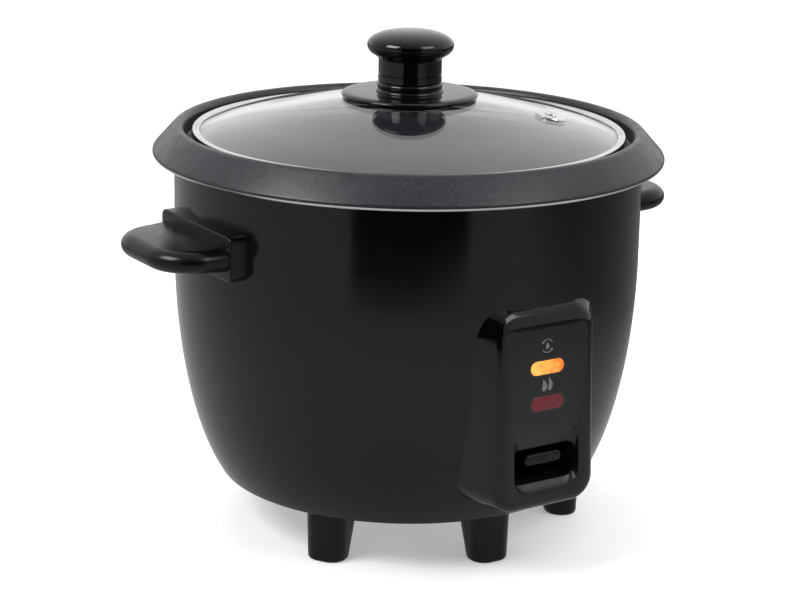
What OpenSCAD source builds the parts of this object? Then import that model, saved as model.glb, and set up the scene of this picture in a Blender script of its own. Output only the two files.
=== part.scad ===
// Drum rice cooker: painted shell, liner, cast heating plate, magnetic thermostat with cook lever,
// lift-out pot with a wide turned-down flange, and a glass lid with a steel rim.
// Millimetres. Origin on the axis at the surface that the feet stand on, +Z up, control panel to -Y.

/* [Body shell] */
// Space between the liner's wall and the shell where the shell is widest
shell_gap = 8.7; // [8:0.1:14]
// How much narrower the shell is at its bottom edge
body_draw_in = 18.4; // [14:0.1:22]
// How much narrower the shell is at its top edge
body_top_in = 0.5; // [0:0.1:1]
// Height at which the shell is widest
belly_z = 110; // [95:1:125]
// Height of the shell's top edge
body_top_z = 152; // [148:0.5:156]
// Sheet thickness of the shell
body_wall = 1; // [0.6:0.1:1.5]
// How far the bottom hem turns in
hem_in = 5; // [3:0.5:8]
// Radius of the rolled bead at the top edge
bead_r = 1.3; // [0.8:0.1:1.8]

/* [Base] */
// Height of the feet
foot_h = 20.2; // [16:0.1:24]
// Width of a foot
foot_w = 15; // [11:0.5:20]
// How far a foot's outer end stands in from the shell's bottom edge
foot_in = 3; // [1:0.1:6]
// Length of a foot at its top, in line with the axis
foot_len_top = 21; // [16:0.5:26]
// Length of a foot at the floor
foot_len_floor = 13; // [9:0.5:15]
// Angle between neighbouring front feet
foot_step = 56; // [45:1:65]
// Turn of the foot pattern from the panel
foot_turn = -3; // [-8:1:8]
// Sheet thickness of the base plate
base_t = 1.2; // [0.8:0.1:2]
// Number of vent slots in the base plate
vent_slots = 10; // [6:1:14]

/* [Heating plate] */
// Height of the heating plate's top face
plate_z = 70; // [68:0.5:74]
// How much smaller than the pot the heating plate is
plate_in = 11.4; // [9:0.1:15]
// Thickness of the heating plate
plate_t = 9; // [7:0.5:10]
// Radius of the circle that the heating tube follows
tube_ring_r = 47; // [44:0.5:49]
// Radius of the cast bead round the heating tube
tube_bead_r = 4.5; // [3.5:0.25:5]
// Radius of the hole for the thermostat cap
plate_hole_r = 20; // [19:0.25:24]
// Space between the pot's wall and the liner's wall
liner_gap = 3.1; // [2:0.1:5]
// Sheet thickness of the liner
liner_t = 0.7; // [0.5:0.1:1]
// Height of the liner's floor
liner_floor_z = 56; // [54:0.25:57]

/* [Pot] */
// Outer radius of the pot's wall at the top
pot_r = 81.4; // [72:0.1:92]
// How much the pot's wall draws in towards the bottom
pot_taper = 2.4; // [0:0.1:5]
// Sheet thickness of the pot
pot_t = 1.5; // [1:0.1:2]
// Radius of the pot's bottom corner
pot_corner = 12; // [8:0.5:16]
// Height of the ledge that the lid sits on, above the shell's top edge
ledge_up = 2; // [1.5:0.1:4]
// Distance from the lid's rim out to the flange's crest
crest_out = 5.8; // [5:0.1:8]
// Height of the flange's crest above the ledge
crest_up = 7.5; // [6.8:0.1:9]
// Distance from the flange's crest out to its edge
flange_out = 11.6; // [8:0.1:14]
// Height from the flange's crest down to its lower edge
flange_drop = 10.5; // [9:0.1:13]

/* [Lid] */
// Width of the pot's ledge, from the wall out to the lid's rim
ledge_w = 5; // [4.5:0.1:7]
// Height of the steel rim's section
rim_h = 5.6; // [5:0.1:7]
// Height of the glass dome's top above the ledge
dome_up = 18.6; // [15:0.1:24]
// Glass thickness
glass_t = 3.6; // [3:0.1:4.2]
// Distance of the steam vent from the axis
vent_reach = 56.2; // [45:0.5:65]
// Angle of the steam vent from the panel
vent_angle = 51; // [-180:1:180]
// Outer radius of the steam vent's flange
vent_flange_r = 6.4; // [5.5:0.1:8]

/* [Knob] */
// Largest radius of the knob's cap
knob_r = 17.2; // [15:0.1:20]
// Height of the knob's top above the glass
knob_up = 27.8; // [22:0.1:34]
// Radius of the knob's stem
stem_r = 12.5; // [10:0.1:13.5]
// Radius of the disc under the knob
disc_r = 27.2; // [22:0.1:32]
// Thickness of the disc at its edge
disc_edge = 2.6; // [2:0.1:3.5]
// Radius of the washer under the glass
washer_r = 14.7; // [12:0.1:17]
// Height of the washer under the glass
washer_h = 6.2; // [5:0.1:8]
// Radius of the knob screw's shank
knob_screw_r = 2; // [1.5:0.1:2.5]

/* [Handles] */
// Length of a grip
grip_l = 25.5; // [20:0.1:32]
// Half width of a grip at its root
grip_root = 24; // [20:0.5:28]
// Half width of a grip at its tip
grip_tip = 19; // [15:0.5:20]
// Thickness of a grip
grip_t = 10.6; // [8:0.1:12]
// Height of a grip's middle
grip_z = 123.1; // [118:0.1:127]
// Half width of a handle's plate
hplate_w = 25; // [25:0.1:29]
// Height of a handle's plate
hplate_h = 16.6; // [15:0.1:20]
// Thickness of a handle's plate
hplate_t = 3; // [2:0.1:4]
// How far the plate's face stands out from the shell
hplate_out = 2.8; // [2:0.1:6]

/* [Control panel] */
// Half width of the control housing
panel_w = 23.4; // [21:0.1:26]
// Height of the housing's bottom
panel_z0 = 34; // [30:0.1:36]
// Height of the housing's top
panel_z1 = 110; // [106:0.1:114]
// How far the face stands out from the shell's widest place, at half height
panel_out = 4.9; // [3.5:0.1:8]
// Lean of the face
panel_lean = 3; // [0:0.5:5]
// Radius of the housing's edges
panel_edge = 4.6; // [3:0.1:6]
// Wall thickness of the housing
panel_wall = 2.6; // [2:0.1:3.5]
// Width of an indicator lens
lens_w = 15.5; // [12:0.1:18]
// Height of an indicator lens
lens_h = 7; // [5:0.1:9]
// Height of the keep-warm lens
lens_warm_z = 86.7; // [84:0.1:92]
// Height of the cook lens
lens_cook_z = 72.8; // [70.5:0.1:75]
// Half width of the lever recess
recess_w = 14.9; // [13:0.1:17]
// Height of the recess's lower edge
recess_z0 = 38.6; // [38:0.1:41]
// Height of the recess's upper edge
recess_z1 = 63; // [60:0.1:66]
// Depth of the recess
recess_depth = 8; // [6:0.1:9]

/* [Cook lever] */
// Height of the lever's hinge pin
pivot_z = 42; // [40:0.1:43]
// Distance of the hinge pin from the axis
pivot_y = 38; // [34:0.5:42]
// Radius of the hinge pin
pivot_r = 2; // [1.5:0.1:2.5]
// Running clearance round the hinge pin
pivot_gap = 0.05; // [0.02:0.01:0.1]
// Angle through which the lever is pressed
lever_travel = 5; // [3:0.1:5.2]
// Height of the lever's blade at the panel
lever_z = 50.4; // [49.5:0.1:51]
// Width of the lever's blade
lever_w = 10; // [8:0.5:12]
// Thickness of the lever's blade
lever_t = 2; // [1.5:0.1:2.5]
// Width of the lever's key
key_w = 17; // [13:0.5:20]
// Height of the lever's key
key_h = 4.6; // [4:0.1:5.5]

/* [Thermostat] */
// Radius of the thermostat cap
cap_r = 18.6; // [17.5:0.1:18.8]
// Thickness of the thermostat cap
cap_t = 2.2; // [1.6:0.1:2.6]
// Outer radius of the thermostat tube
tube_r = 11.2; // [10:0.1:11.5]
// Wall of the thermostat tube
tube_wall = 1; // [0.8:0.1:1.4]
// Thickness of the soft-iron disc in the cap
ferrite_t = 3.4; // [2.5:0.1:4]
// Thickness of the magnet
magnet_t = 4.8; // [4:0.1:6]
// Radius of the plunger rod
rod_r = 2; // [1.5:0.1:2.5]
// Radius of the pin through the plunger rod
pin_r = 1.5; // [1:0.1:1.8]
// How far the cap can be pressed down
cap_travel = 1.5; // [0.5:0.1:2]

/* [Mains inlet] */
// Width of the inlet's socket
inlet_w = 24; // [22:0.5:26]
// Height of the inlet's socket
inlet_h = 16; // [14:0.5:18]
// Height of the inlet's middle
inlet_z = 40; // [38:0.1:42]
// Depth of the inlet's socket
inlet_depth = 16; // [12:0.5:18]

/* [Hidden] */

// Resolutions: revolved forms, drilled holes, and the members of a hull
$fn = 96;
hole_fn = 32;
hull_fn = 32;
// Clearance between pieces that lift off or slide
lift_gap = 0.3;
// Clearance of pieces that are fixed in a seat
seat_gap = 0.1;
// Overshoot of cuts
eps = 1;

// Radii from the pot outwards
liner_r = pot_r + liner_gap;
body_r = liner_r + shell_gap;
body_foot_r = body_r - body_draw_in;
body_top_r = body_r - body_top_in;
plate_r = pot_r - plate_in;
foot_reach = body_foot_r - foot_in;
rim_r = pot_r + ledge_w;
crest_r = rim_r + crest_out;
flange_r = crest_r + flange_out;
hplate_reach = body_r + hplate_out;
grip_reach = hplate_reach + grip_l;
panel_reach = body_r + panel_out;

// Heights from the shell's top edge upwards
ledge_z = body_top_z + ledge_up;
crest_z = ledge_z + crest_up;
flange_edge_z = crest_z - flange_drop;
dome_z = ledge_z + dome_up;
knob_top_z = dome_z + knob_up;

// ---- helpers ----

// Points of an arc round c, from angle a0 to a1
function arc(c, r, a0, a1, n = 8) =
    [for (i = [0 : n]) let (a = a0 + (a1 - a0) * i / n) [c[0] + r * cos(a), c[1] + r * sin(a)]];

// The points of a list, last first
function reversed(v) = [for (i = [len(v) - 1 : -1 : 0]) v[i]];

// Turns a piece from the front to an angle, positive towards +X
module turned(a) rotate([0, 0, a]) children();

// A rectangle with round corners, centred
module round_rect(w, h, r) {
    offset(r = r, $fn = hull_fn)
        square([w - 2 * r, h - 2 * r], center = true);
}

// A plate in the XZ plane that runs from y0 to y1
module upright(y0, y1) {
    translate([0, y1, 0])
        rotate([90, 0, 0])
            linear_extrude(y1 - y0)
                children();
}

// A disc with a full round edge, used as the corner of a hull
module round_button(r, edge_r) {
    rotate_extrude($fn = hull_fn)
        intersection() {
            translate([r - edge_r, 0])
                circle(r = edge_r, $fn = hull_fn);
            translate([0, -edge_r])
                square([r, 2 * edge_r]);
        }
}

// A pan-head screw: head below z = 0, shank above it
module screw(shank_r, shank_l, head_r, head_h) {
    cylinder(r = shank_r, h = shank_l, $fn = hole_fn);
    difference() {
        translate([0, 0, -head_h])
            cylinder(r1 = head_r * 0.8, r2 = head_r, h = head_h, $fn = hole_fn);
        translate([0, 0, -head_h - eps])
            linear_extrude(eps + head_h * 0.5)
                cross_slot(head_r * 1.1, head_r * 0.25);
    }
}

// The cross of a screw drive
module cross_slot(length, width) {
    square([length, width], center = true);
    square([width, length], center = true);
}

// A coil of round wire: stacked rings joined by the riser that closes them into one piece
module coil(r, wire_r, z0, z1, turns) {
    pitch = (z1 - z0 - 2 * wire_r) / turns;
    for (i = [0 : turns])
        translate([0, 0, z0 + wire_r + i * pitch])
            rotate_extrude($fn = 48)
                translate([r, 0])
                    circle(r = wire_r, $fn = 16);
    translate([r, 0, z0 + wire_r])
        cylinder(r = wire_r * 0.8, h = z1 - z0 - 2 * wire_r, $fn = 16);
}

// ---- body shell ----

belly_arc = 64;
bulge_in = (body_r - body_foot_r) / (1 - cos(belly_arc));
bulge_down = (belly_z - foot_h) / sin(belly_arc);

// The shell's side is part of an ellipse below the belly and a slight taper above it
function shell_side(inset) =
    concat([for (a = [belly_arc : -4 : 0])
        [body_r - bulge_in * (1 - cos(a)) - inset, belly_z - bulge_down * sin(a)]],
        [[body_top_r - inset, body_top_z]]);

// Radius of the shell's side at a height
function shell_r(z) = z > belly_z
    ? body_r + (body_top_r - body_r) * (z - belly_z) / (body_top_z - belly_z)
    : body_r - bulge_in * (1 - sqrt(1 - pow((belly_z - z) / bulge_down, 2)));

// A solid of the shell's outer form, used to seat what is fixed to it
module shell_form(grow = 0) {
    rotate_extrude()
        polygon(concat([[0, foot_h]], shell_side(-grow), [[0, body_top_z]]));
}

handle_screw_x = 15;
handle_screw_r = 2;
boss_r = 7.6;
slot_z0 = lever_z - 9.2;
slot_z1 = lever_z + 3.4;
slot_w = lever_w / 2 + 2;

module outer_body() {
    hem_r = body_foot_r - hem_in;
    color("#1b1c1e")
        difference() {
            union() {
                rotate_extrude()
                    polygon(concat([[hem_r, foot_h]], shell_side(0), reversed(shell_side(body_wall)),
                        [[body_foot_r - body_wall, foot_h + body_wall], [hem_r, foot_h + body_wall]]));
                rotate_extrude()
                    translate([body_top_r - bead_r, body_top_z])
                        circle(r = bead_r, $fn = hole_fn);
            }
            // lever slot and lamp window behind the control housing
            translate([-slot_w, -body_r - eps, slot_z0])
                cube([2 * slot_w, body_r / 2, slot_z1 - slot_z0]);
            translate([-lamp_window_w, -body_r - eps, lens_cook_z - lens_h])
                cube([2 * lamp_window_w, body_r / 2, lens_warm_z - lens_cook_z + 2 * lens_h]);
            // mains inlet
            translate([-inlet_w / 2 - seat_gap, body_r / 2, inlet_z - inlet_h / 2 - seat_gap])
                cube([inlet_w + 2 * seat_gap, body_r, inlet_h + 2 * seat_gap]);
            // screw holes for the handles and the control housing
            for (side = [-90, 90], x = [-1, 1])
                turned(side)
                    translate([x * handle_screw_x, 0, grip_z])
                        rotate([90, 0, 0])
                            cylinder(r = handle_screw_r + seat_gap, h = body_r + eps, $fn = hole_fn);
            for (x = [-1, 1])
                translate([x * housing_screw_x, 0, housing_screw_z])
                    rotate([90, 0, 0])
                        cylinder(r = housing_screw_r + seat_gap, h = body_r + eps, $fn = hole_fn);
        }
}

// ---- liner, base and feet ----

liner_top_z = body_top_z - bead_r - 1.4;
liner_hole_r = tube_ring_r + tube_bead_r + 4;
post_reach = plate_r - 7;
post_r = 4.5;
post_angles = [30, 150, 270];
base_z = foot_h + body_wall;
base_screw_r = 1.6;

module inner_liner() {
    flange_end = shell_r(liner_top_z) - body_wall - seat_gap;
    color("#a9abad")
        difference() {
            rotate_extrude()
                polygon([[liner_hole_r, liner_floor_z], [liner_r - 2, liner_floor_z], [liner_r, liner_floor_z + 2],
                    [liner_r, liner_top_z - liner_t], [flange_end, liner_top_z - liner_t],
                    [flange_end, liner_top_z], [liner_r - liner_t, liner_top_z],
                    [liner_r - liner_t, liner_floor_z + 2.3], [liner_r - 2.3, liner_floor_z + liner_t],
                    [liner_hole_r, liner_floor_z + liner_t]]);
            for (a = post_angles)
                turned(a)
                    translate([0, -post_reach, liner_floor_z - eps])
                        cylinder(r = base_screw_r + seat_gap, h = 3 * eps, $fn = hole_fn);
        }
}

module liner_posts() {
    color("#b9bbbd")
        for (a = post_angles)
            turned(a)
                translate([0, -post_reach, base_z + base_t])
                    difference() {
                        cylinder(r = post_r, h = liner_floor_z - base_z - base_t, $fn = hole_fn);
                        translate([0, 0, -eps])
                            cylinder(r = base_screw_r, h = 12 + eps, $fn = hole_fn);
                        translate([0, 0, liner_floor_z - base_z - base_t - 12])
                            cylinder(r = base_screw_r, h = 12 + eps, $fn = hole_fn);
                    }
}

module base_plate() {
    plate_edge = body_foot_r - body_wall - 0.6;
    color("#2a2b2d")
        difference() {
            rotate_extrude()
                polygon([[0, base_z], [plate_edge, base_z], [plate_edge, base_z + 3.2],
                    [plate_edge - base_t, base_z + 3.2], [plate_edge - base_t, base_z + base_t],
                    [0, base_z + base_t]]);
            for (a = post_angles)
                turned(a)
                    translate([0, -post_reach, base_z - eps])
                        cylinder(r = base_screw_r + seat_gap, h = base_t + 2 * eps, $fn = hole_fn);
            for (a = foot_angles)
                turned(a)
                    translate([0, -foot_screw_reach, base_z - eps])
                        cylinder(r = foot_screw_r + seat_gap, h = base_t + 2 * eps, $fn = hole_fn);
            // vents: two rings of slots between the posts
            for (i = [0 : vent_slots - 1])
                turned((i + 0.5) * 360 / vent_slots)
                    translate([0, -34, base_z - eps])
                        linear_extrude(base_t + 2 * eps)
                            round_rect(3, 16, 1.49);
        }
}

foot_angles = [foot_turn, foot_turn - foot_step, foot_turn + foot_step, foot_turn + 180];
foot_screw_reach = foot_reach - 9;
foot_screw_r = 1.8;

// A hollow-backed leg: upright and round outside, sloping in towards the floor inside
module foot(a) {
    color("#161617")
        turned(a)
            difference() {
                intersection() {
                    linear_extrude(base_z)
                        hull() {
                            translate([0, -foot_reach + foot_w / 2])
                                circle(d = foot_w, $fn = 48);
                            translate([-foot_w / 2, -foot_reach + foot_len_top - 1])
                                square([foot_w, 1]);
                        }
                    rotate([90, 0, 90])
                        translate([0, 0, -foot_w])
                            linear_extrude(2 * foot_w)
                                polygon([[-foot_reach, base_z], [-foot_reach, foot_h * 0.8],
                                    [-foot_reach + 0.8, 0.8], [-foot_reach + 1.6, 0],
                                    [-foot_reach + foot_len_floor - 0.8, 0], [-foot_reach + foot_len_floor, 0.8],
                                    [-foot_reach + foot_len_top, base_z]]);
                }
                // seat under the shell's turned-in hem
                difference() {
                    translate([0, 0, foot_h])
                        cylinder(r = 2 * body_r, h = body_wall + eps);
                    translate([0, 0, foot_h - eps])
                        cylinder(r = body_foot_r - hem_in - seat_gap, h = body_wall + 3 * eps);
                }
                // screw hole
                translate([0, -foot_screw_reach, 6])
                    cylinder(r = foot_screw_r, h = base_z, $fn = hole_fn);
            }
}

module foot_front() foot(foot_angles[0]);
module foot_left() foot(foot_angles[1]);
module foot_right() foot(foot_angles[2]);
module foot_rear() foot(foot_angles[3]);

module foot_screws() {
    color("#8e9092")
        for (a = foot_angles)
            turned(a)
                translate([0, -foot_screw_reach, base_z + base_t])
                    rotate([180, 0, 0])
                        screw(foot_screw_r, 12, 3.4, 2);
}

module base_screws() {
    color("#8e9092")
        for (a = post_angles)
            turned(a)
                translate([0, -post_reach, base_z])
                    screw(base_screw_r, 10, 3, 1.8);
}

// ---- heating plate ----

plate_under = plate_z - plate_t;
tube_z = plate_under + 0.5;
heater_tube_r = 3.2;
cold_end_a = 24;
cold_end_l = 13;
cold_end_r = heater_tube_r - 0.4;

module heating_plate() {
    color("#a7a9ab")
        difference() {
            rotate_extrude()
                difference() {
                    union() {
                        polygon(concat([[plate_hole_r, plate_under], [plate_r - 3, plate_under]],
                            [[plate_r, plate_under + 3]], arc([plate_r - 2, plate_z - 2], 2, 0, 90, 6),
                            [[plate_hole_r, plate_z]]));
                        translate([tube_ring_r, tube_z])
                            circle(r = tube_bead_r, $fn = hole_fn);
                    }
                    // channel of the cast-in heating tube
                    translate([tube_ring_r, tube_z])
                        circle(r = heater_tube_r + seat_gap, $fn = hole_fn);
                }
            // the tube's cold ends leave downwards
            for (s = [-1, 1])
                turned(180 + s * cold_end_a / 2)
                    translate([0, -tube_ring_r, tube_z - 3 * tube_bead_r])
                        cylinder(r = cold_end_r + seat_gap, h = 3 * tube_bead_r, $fn = hole_fn);
            for (a = post_angles)
                turned(a)
                    translate([0, -post_reach, plate_under - eps])
                        cylinder(r = base_screw_r, h = 6 + eps, $fn = hole_fn);
            for (a = guide_angles)
                turned(a)
                    translate([0, -guide_screw_reach, plate_under - eps])
                        cylinder(r = base_screw_r, h = 6 + eps, $fn = hole_fn);
        }
}

// The sheathed tube: a ring cast into the plate, its two cold ends turned down to the terminals
module heating_tube() {
    color("#6f7173")
        union() {
            rotate_extrude()
                translate([tube_ring_r, tube_z])
                    circle(r = heater_tube_r, $fn = hole_fn);
            for (s = [-1, 1])
                turned(180 + s * cold_end_a / 2)
                    translate([0, -tube_ring_r, tube_z - cold_end_l])
                        union() {
                            cylinder(r = cold_end_r, h = cold_end_l, $fn = hole_fn);
                            translate([0, 0, -5])
                                cylinder(r = 1.2, h = 5 + eps, $fn = hole_fn);
                        }
        }
}

module plate_spacers() {
    color("#b9bbbd")
        for (a = post_angles)
            turned(a)
                translate([0, -post_reach, liner_floor_z + liner_t])
                    difference() {
                        cylinder(r = post_r, h = plate_under - liner_floor_z - liner_t, $fn = hole_fn);
                        translate([0, 0, -eps])
                            cylinder(r = base_screw_r + seat_gap, h = plate_t + 2 * eps, $fn = hole_fn);
                    }
}

// Studs that clamp the plate, its spacers and the liner to the posts
module plate_screws() {
    color("#8e9092")
        for (a = post_angles)
            turned(a)
                translate([0, -post_reach, liner_floor_z - 10])
                    cylinder(r = base_screw_r, h = plate_under - liner_floor_z + 15, $fn = hole_fn);
}

// ---- thermostat ----

guide_angles = [0, 180];
guide_screw_reach = 26;
guide_gap = 0.3;
guide_t = 1.2;
core_r = tube_r - tube_wall;
ferrite_z1 = plate_z - cap_t;
ferrite_z0 = ferrite_z1 - ferrite_t;
cap_tube_z0 = plate_z - 14;
guide_floor_gap = 3.3;
guide_z0 = cap_tube_z0 - cap_travel - guide_floor_gap - guide_t;
plunger_travel = pivot_y * sin(lever_travel);
magnet_z1 = ferrite_z0 - lift_gap - plunger_travel - cap_travel;
magnet_z0 = magnet_z1 - magnet_t;
magnet_r = core_r - 0.6;

module thermostat_guide() {
    color("#9c9ea0")
        difference() {
            union() {
                translate([0, 0, plate_under - guide_t])
                    cylinder(r = guide_screw_reach + 4, h = guide_t);
                translate([0, 0, guide_z0])
                    cylinder(r = tube_r + guide_gap + guide_t, h = plate_under - guide_z0);
            }
            translate([0, 0, guide_z0 + guide_t])
                cylinder(r = tube_r + guide_gap, h = plate_t + 20);
            translate([0, 0, guide_z0 - eps])
                cylinder(r = rod_r + 0.4, h = 3 * eps, $fn = hole_fn);
            for (a = guide_angles)
                turned(a)
                    translate([0, -guide_screw_reach, plate_under - guide_t - eps])
                        cylinder(r = base_screw_r + seat_gap, h = guide_t + 2 * eps, $fn = hole_fn);
        }
}

module thermostat_cap() {
    color("#c9cbcd")
        rotate_extrude()
            polygon([[0, plate_z], [cap_r - 1, plate_z], [cap_r, plate_z - 1], [cap_r, plate_z - 4.6],
                [cap_r - 0.8, plate_z - 4.6], [cap_r - 0.8, plate_z - cap_t], [tube_r, plate_z - cap_t],
                [tube_r, cap_tube_z0], [core_r, cap_tube_z0], [core_r, ferrite_z1], [0, ferrite_z1]]);
}

module thermostat_core() {
    color("#4a4b4d")
        translate([0, 0, ferrite_z0])
            cylinder(r = core_r - seat_gap, h = ferrite_t - 0.05);
}

module thermostat_spring() {
    color("#b4b6b8")
        coil(tube_r + 3.2, 0.7, plate_under + 0.05, plate_z - cap_t - 0.05, 3);
}

module magnet() {
    color("#3b3c3e")
        translate([0, 0, magnet_z0])
            difference() {
                cylinder(r = magnet_r, h = magnet_t);
                translate([0, 0, -eps])
                    cylinder(r = rod_r, h = magnet_t - 1 + eps, $fn = hole_fn);
            }
}

module magnet_plunger() {
    color("#b4b6b8")
        difference() {
            union() {
                translate([0, 0, pivot_z - 4])
                    cylinder(r = rod_r, h = magnet_z1 - 1 - pivot_z + 4, $fn = hole_fn);
                translate([0, 0, magnet_z0 - 0.8])
                    cylinder(r = rod_r + 2, h = 0.8, $fn = hole_fn);
            }
            translate([-rod_r - eps, 0, pivot_z])
                rotate([0, 90, 0])
                    cylinder(r = pin_r, h = 2 * (rod_r + eps), $fn = hole_fn);
        }
}

module plunger_pin() {
    color("#c9cbcd")
        translate([-lever_w / 2 - 1, 0, pivot_z])
            rotate([0, 90, 0])
                cylinder(r = pin_r, h = lever_w + 2, $fn = hole_fn);
}

// ---- cook lever ----

hub_r = pivot_r + 1.6;
bracket_x = lever_w / 2 + 1;
bracket_t = 1.5;
key_y = -panel_reach + 1;
crank_y = 56;
lever_rise_y = 68;

module pivot_bracket() {
    color("#9c9ea0")
        difference() {
            union() {
                translate([-bracket_x - bracket_t - 6, -pivot_y - 7, base_z + base_t])
                    cube([2 * (bracket_x + bracket_t + 6), 14, bracket_t]);
                for (s = [-1, 1])
                    translate([s * (bracket_x + bracket_t / 2), -pivot_y, base_z + base_t])
                        rotate([90, 0, 90])
                            translate([0, 0, -bracket_t / 2])
                                linear_extrude(bracket_t)
                                    hull() {
                                        translate([-7, 0])
                                            square([14, 2]);
                                        translate([0, pivot_z - base_z - base_t])
                                            circle(r = 4.5, $fn = hole_fn);
                                    }
            }
            translate([-30, -pivot_y, pivot_z])
                rotate([0, 90, 0])
                    cylinder(r = pivot_r, h = 60, $fn = hole_fn);
        }
}

module pivot_pin() {
    color("#c9cbcd")
        translate([-bracket_x - bracket_t - 1, -pivot_y, pivot_z])
            rotate([0, 90, 0])
                cylinder(r = pivot_r, h = 2 * (bracket_x + bracket_t + 1), $fn = hole_fn);
}

// A pressed blade: fork on the plunger pin, rolled hub on the hinge pin, cranked up to the key
module cook_lever() {
    half = lever_t / 2;
    color("#b0b2b4")
        difference() {
            union() {
                rotate([90, 0, 90])
                    translate([0, 0, -lever_w / 2])
                        linear_extrude(lever_w)
                            polygon([[4, pivot_z - half - 1.6], [4, pivot_z + half + 1.6], [-5, pivot_z + half + 1.6],
                                [-8, pivot_z + half], [-crank_y + half, pivot_z + half],
                                [-lever_rise_y + half, lever_z + half], [key_y + 2, lever_z + half],
                                [key_y + 2, lever_z - half], [-lever_rise_y - half, lever_z - half],
                                [-crank_y - half, pivot_z - half], [-8, pivot_z - half],
                                [-5, pivot_z - half - 1.6]]);
                translate([-lever_w / 2, -pivot_y, pivot_z])
                    rotate([0, 90, 0])
                        cylinder(r = hub_r, h = lever_w, $fn = hole_fn);
            }
            // hinge bore
            translate([-lever_w, -pivot_y, pivot_z])
                rotate([0, 90, 0])
                    cylinder(r = pivot_r + pivot_gap, h = 2 * lever_w, $fn = hole_fn);
            // gap of the fork round the plunger rod, and its two open slots for the pin
            translate([-rod_r - 0.6, -6, pivot_z - 10])
                cube([2 * (rod_r + 0.6), 20, 20]);
            translate([-lever_w, -pin_r - 0.5, pivot_z - pin_r - 0.25])
                cube([2 * lever_w, 20, 2 * pin_r + 0.5]);
        }
}

module lever_key() {
    color("#17181a")
        difference() {
            translate([0, 0, lever_z])
                upright(key_y, key_y + 9)
                    union() {
                        round_rect(key_w, key_h, 2.2);
                    }
            translate([-lever_w / 2, key_y + 2, lever_z - lever_t / 2])
                cube([lever_w, 10, lever_t]);
            // finger hollow above the key's front lip
            translate([0, key_y + 5.5, lever_z + key_h + 1.2])
                rotate([0, 90, 0])
                    cylinder(r = 4.4, h = key_w + 2, center = true, $fn = 48);
        }
}

spring_y = pivot_y + 12;

module lever_spring() {
    color("#b4b6b8")
        translate([0, -spring_y, 0])
            coil(3.4, 0.5, base_z + base_t + 0.05, pivot_z - lever_t / 2 - 0.05, 6);
}

// ---- wiring pieces ----

contact_pos = [bracket_x + bracket_t + 6.5, 12.8 - body_foot_r, base_z + base_t];
contact_w = 11;

module contact_block() {
    color("#5a3a22")
        translate(contact_pos)
            difference() {
                cube([contact_w, 22, 14]);
                for (y = [3, 13])
                    translate([-eps, y, 8])
                        cube([contact_w + 2 * eps, 6, 8]);
            }
}

module contact_blades() {
    color("#b87333")
        for (y = [4, 14])
            translate(contact_pos + [-3.5, y, 8])
                union() {
                    cube([contact_w + 3, 4, 0.8]);
                    translate([2, 2, 0.8])
                        cylinder(r = 1.4, h = 1.2, $fn = hole_fn);
                }
}

module keep_warm_heater() {
    color("#d8d2c4")
        translate([-34, 6, base_z + base_t])
            difference() {
                cube([10, 34, 9]);
                translate([2, -eps, 5])
                    cube([6, 34 + 2 * eps, 5]);
            }
}

module thermal_fuse() {
    color("#d9d9d4")
        translate([24, 2, base_z + base_t + 3])
            rotate([-90, 0, 0])
                union() {
                    cylinder(r = 3, h = 16, $fn = hole_fn);
                    translate([0, 0, -4])
                        cylinder(r = 0.9, h = 24, $fn = hole_fn);
                }
}

module terminal_block() {
    color("#e3e0d6")
        translate([-12, 34, base_z + base_t])
            difference() {
                cube([24, 12, 10]);
                for (x = [4, 12, 20])
                    translate([x, 6, 3])
                        cylinder(r = 2.4, h = 10, $fn = hole_fn);
            }
}

// ---- control housing ----

panel_mid = (panel_z0 + panel_z1) / 2;
panel_half_h = (panel_z1 - panel_z0) / 2;
panel_corner = 8;
housing_screw_x = panel_w - 4.6;
housing_screw_z = recess_z1 - 3;
housing_screw_r = 1.6;
housing_head_r = 3;
lamp_window_w = lens_w / 2 + 4;
cavity_w = lens_w / 2 + 5;

// Places a piece in the face's own frame: origin at the middle of the face, +Y inwards
module on_face() {
    translate([0, -panel_reach, panel_mid])
        rotate([-panel_lean, 0, 0])
            children();
}

module housing_form() {
    on_face()
        hull() {
            for (x = [-1, 1], z = [-1, 1])
                translate([x * (panel_w - panel_corner), panel_edge, z * (panel_half_h - panel_corner)])
                    rotate([90, 0, 0])
                        round_button(panel_corner, panel_edge);
            translate([0, 0, 0.6])
                upright(26, 27)
                    round_rect(2 * panel_w + 3, 2 * panel_half_h + 1.2, panel_corner);
        }
}

// Side outline of the lever recess: a ramp down to the slot, the slot, and a ramp up to the sill
module recess_form() {
    z1 = recess_z1 - panel_mid;
    z0 = recess_z0 - panel_mid;
    s1 = slot_z1 - panel_mid;
    s0 = slot_z0 + 1 - panel_mid;
    intersection() {
        rotate([90, 0, 90])
            translate([0, 0, -panel_w])
                linear_extrude(2 * panel_w)
                    polygon([[-eps, z1 + 0.3], [0.8, z1], [recess_depth * 0.7, s1 + 2.2], [recess_depth, s1],
                        [40, s1], [40, s0], [recess_depth, s0], [0.8, z0], [-eps, z0 - 0.3]]);
        translate([0, 0, (z0 + z1) / 2])
            upright(-2 * eps, 41)
                round_rect(2 * recess_w, z1 - z0 + 0.8, 6.4);
    }
}

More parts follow.
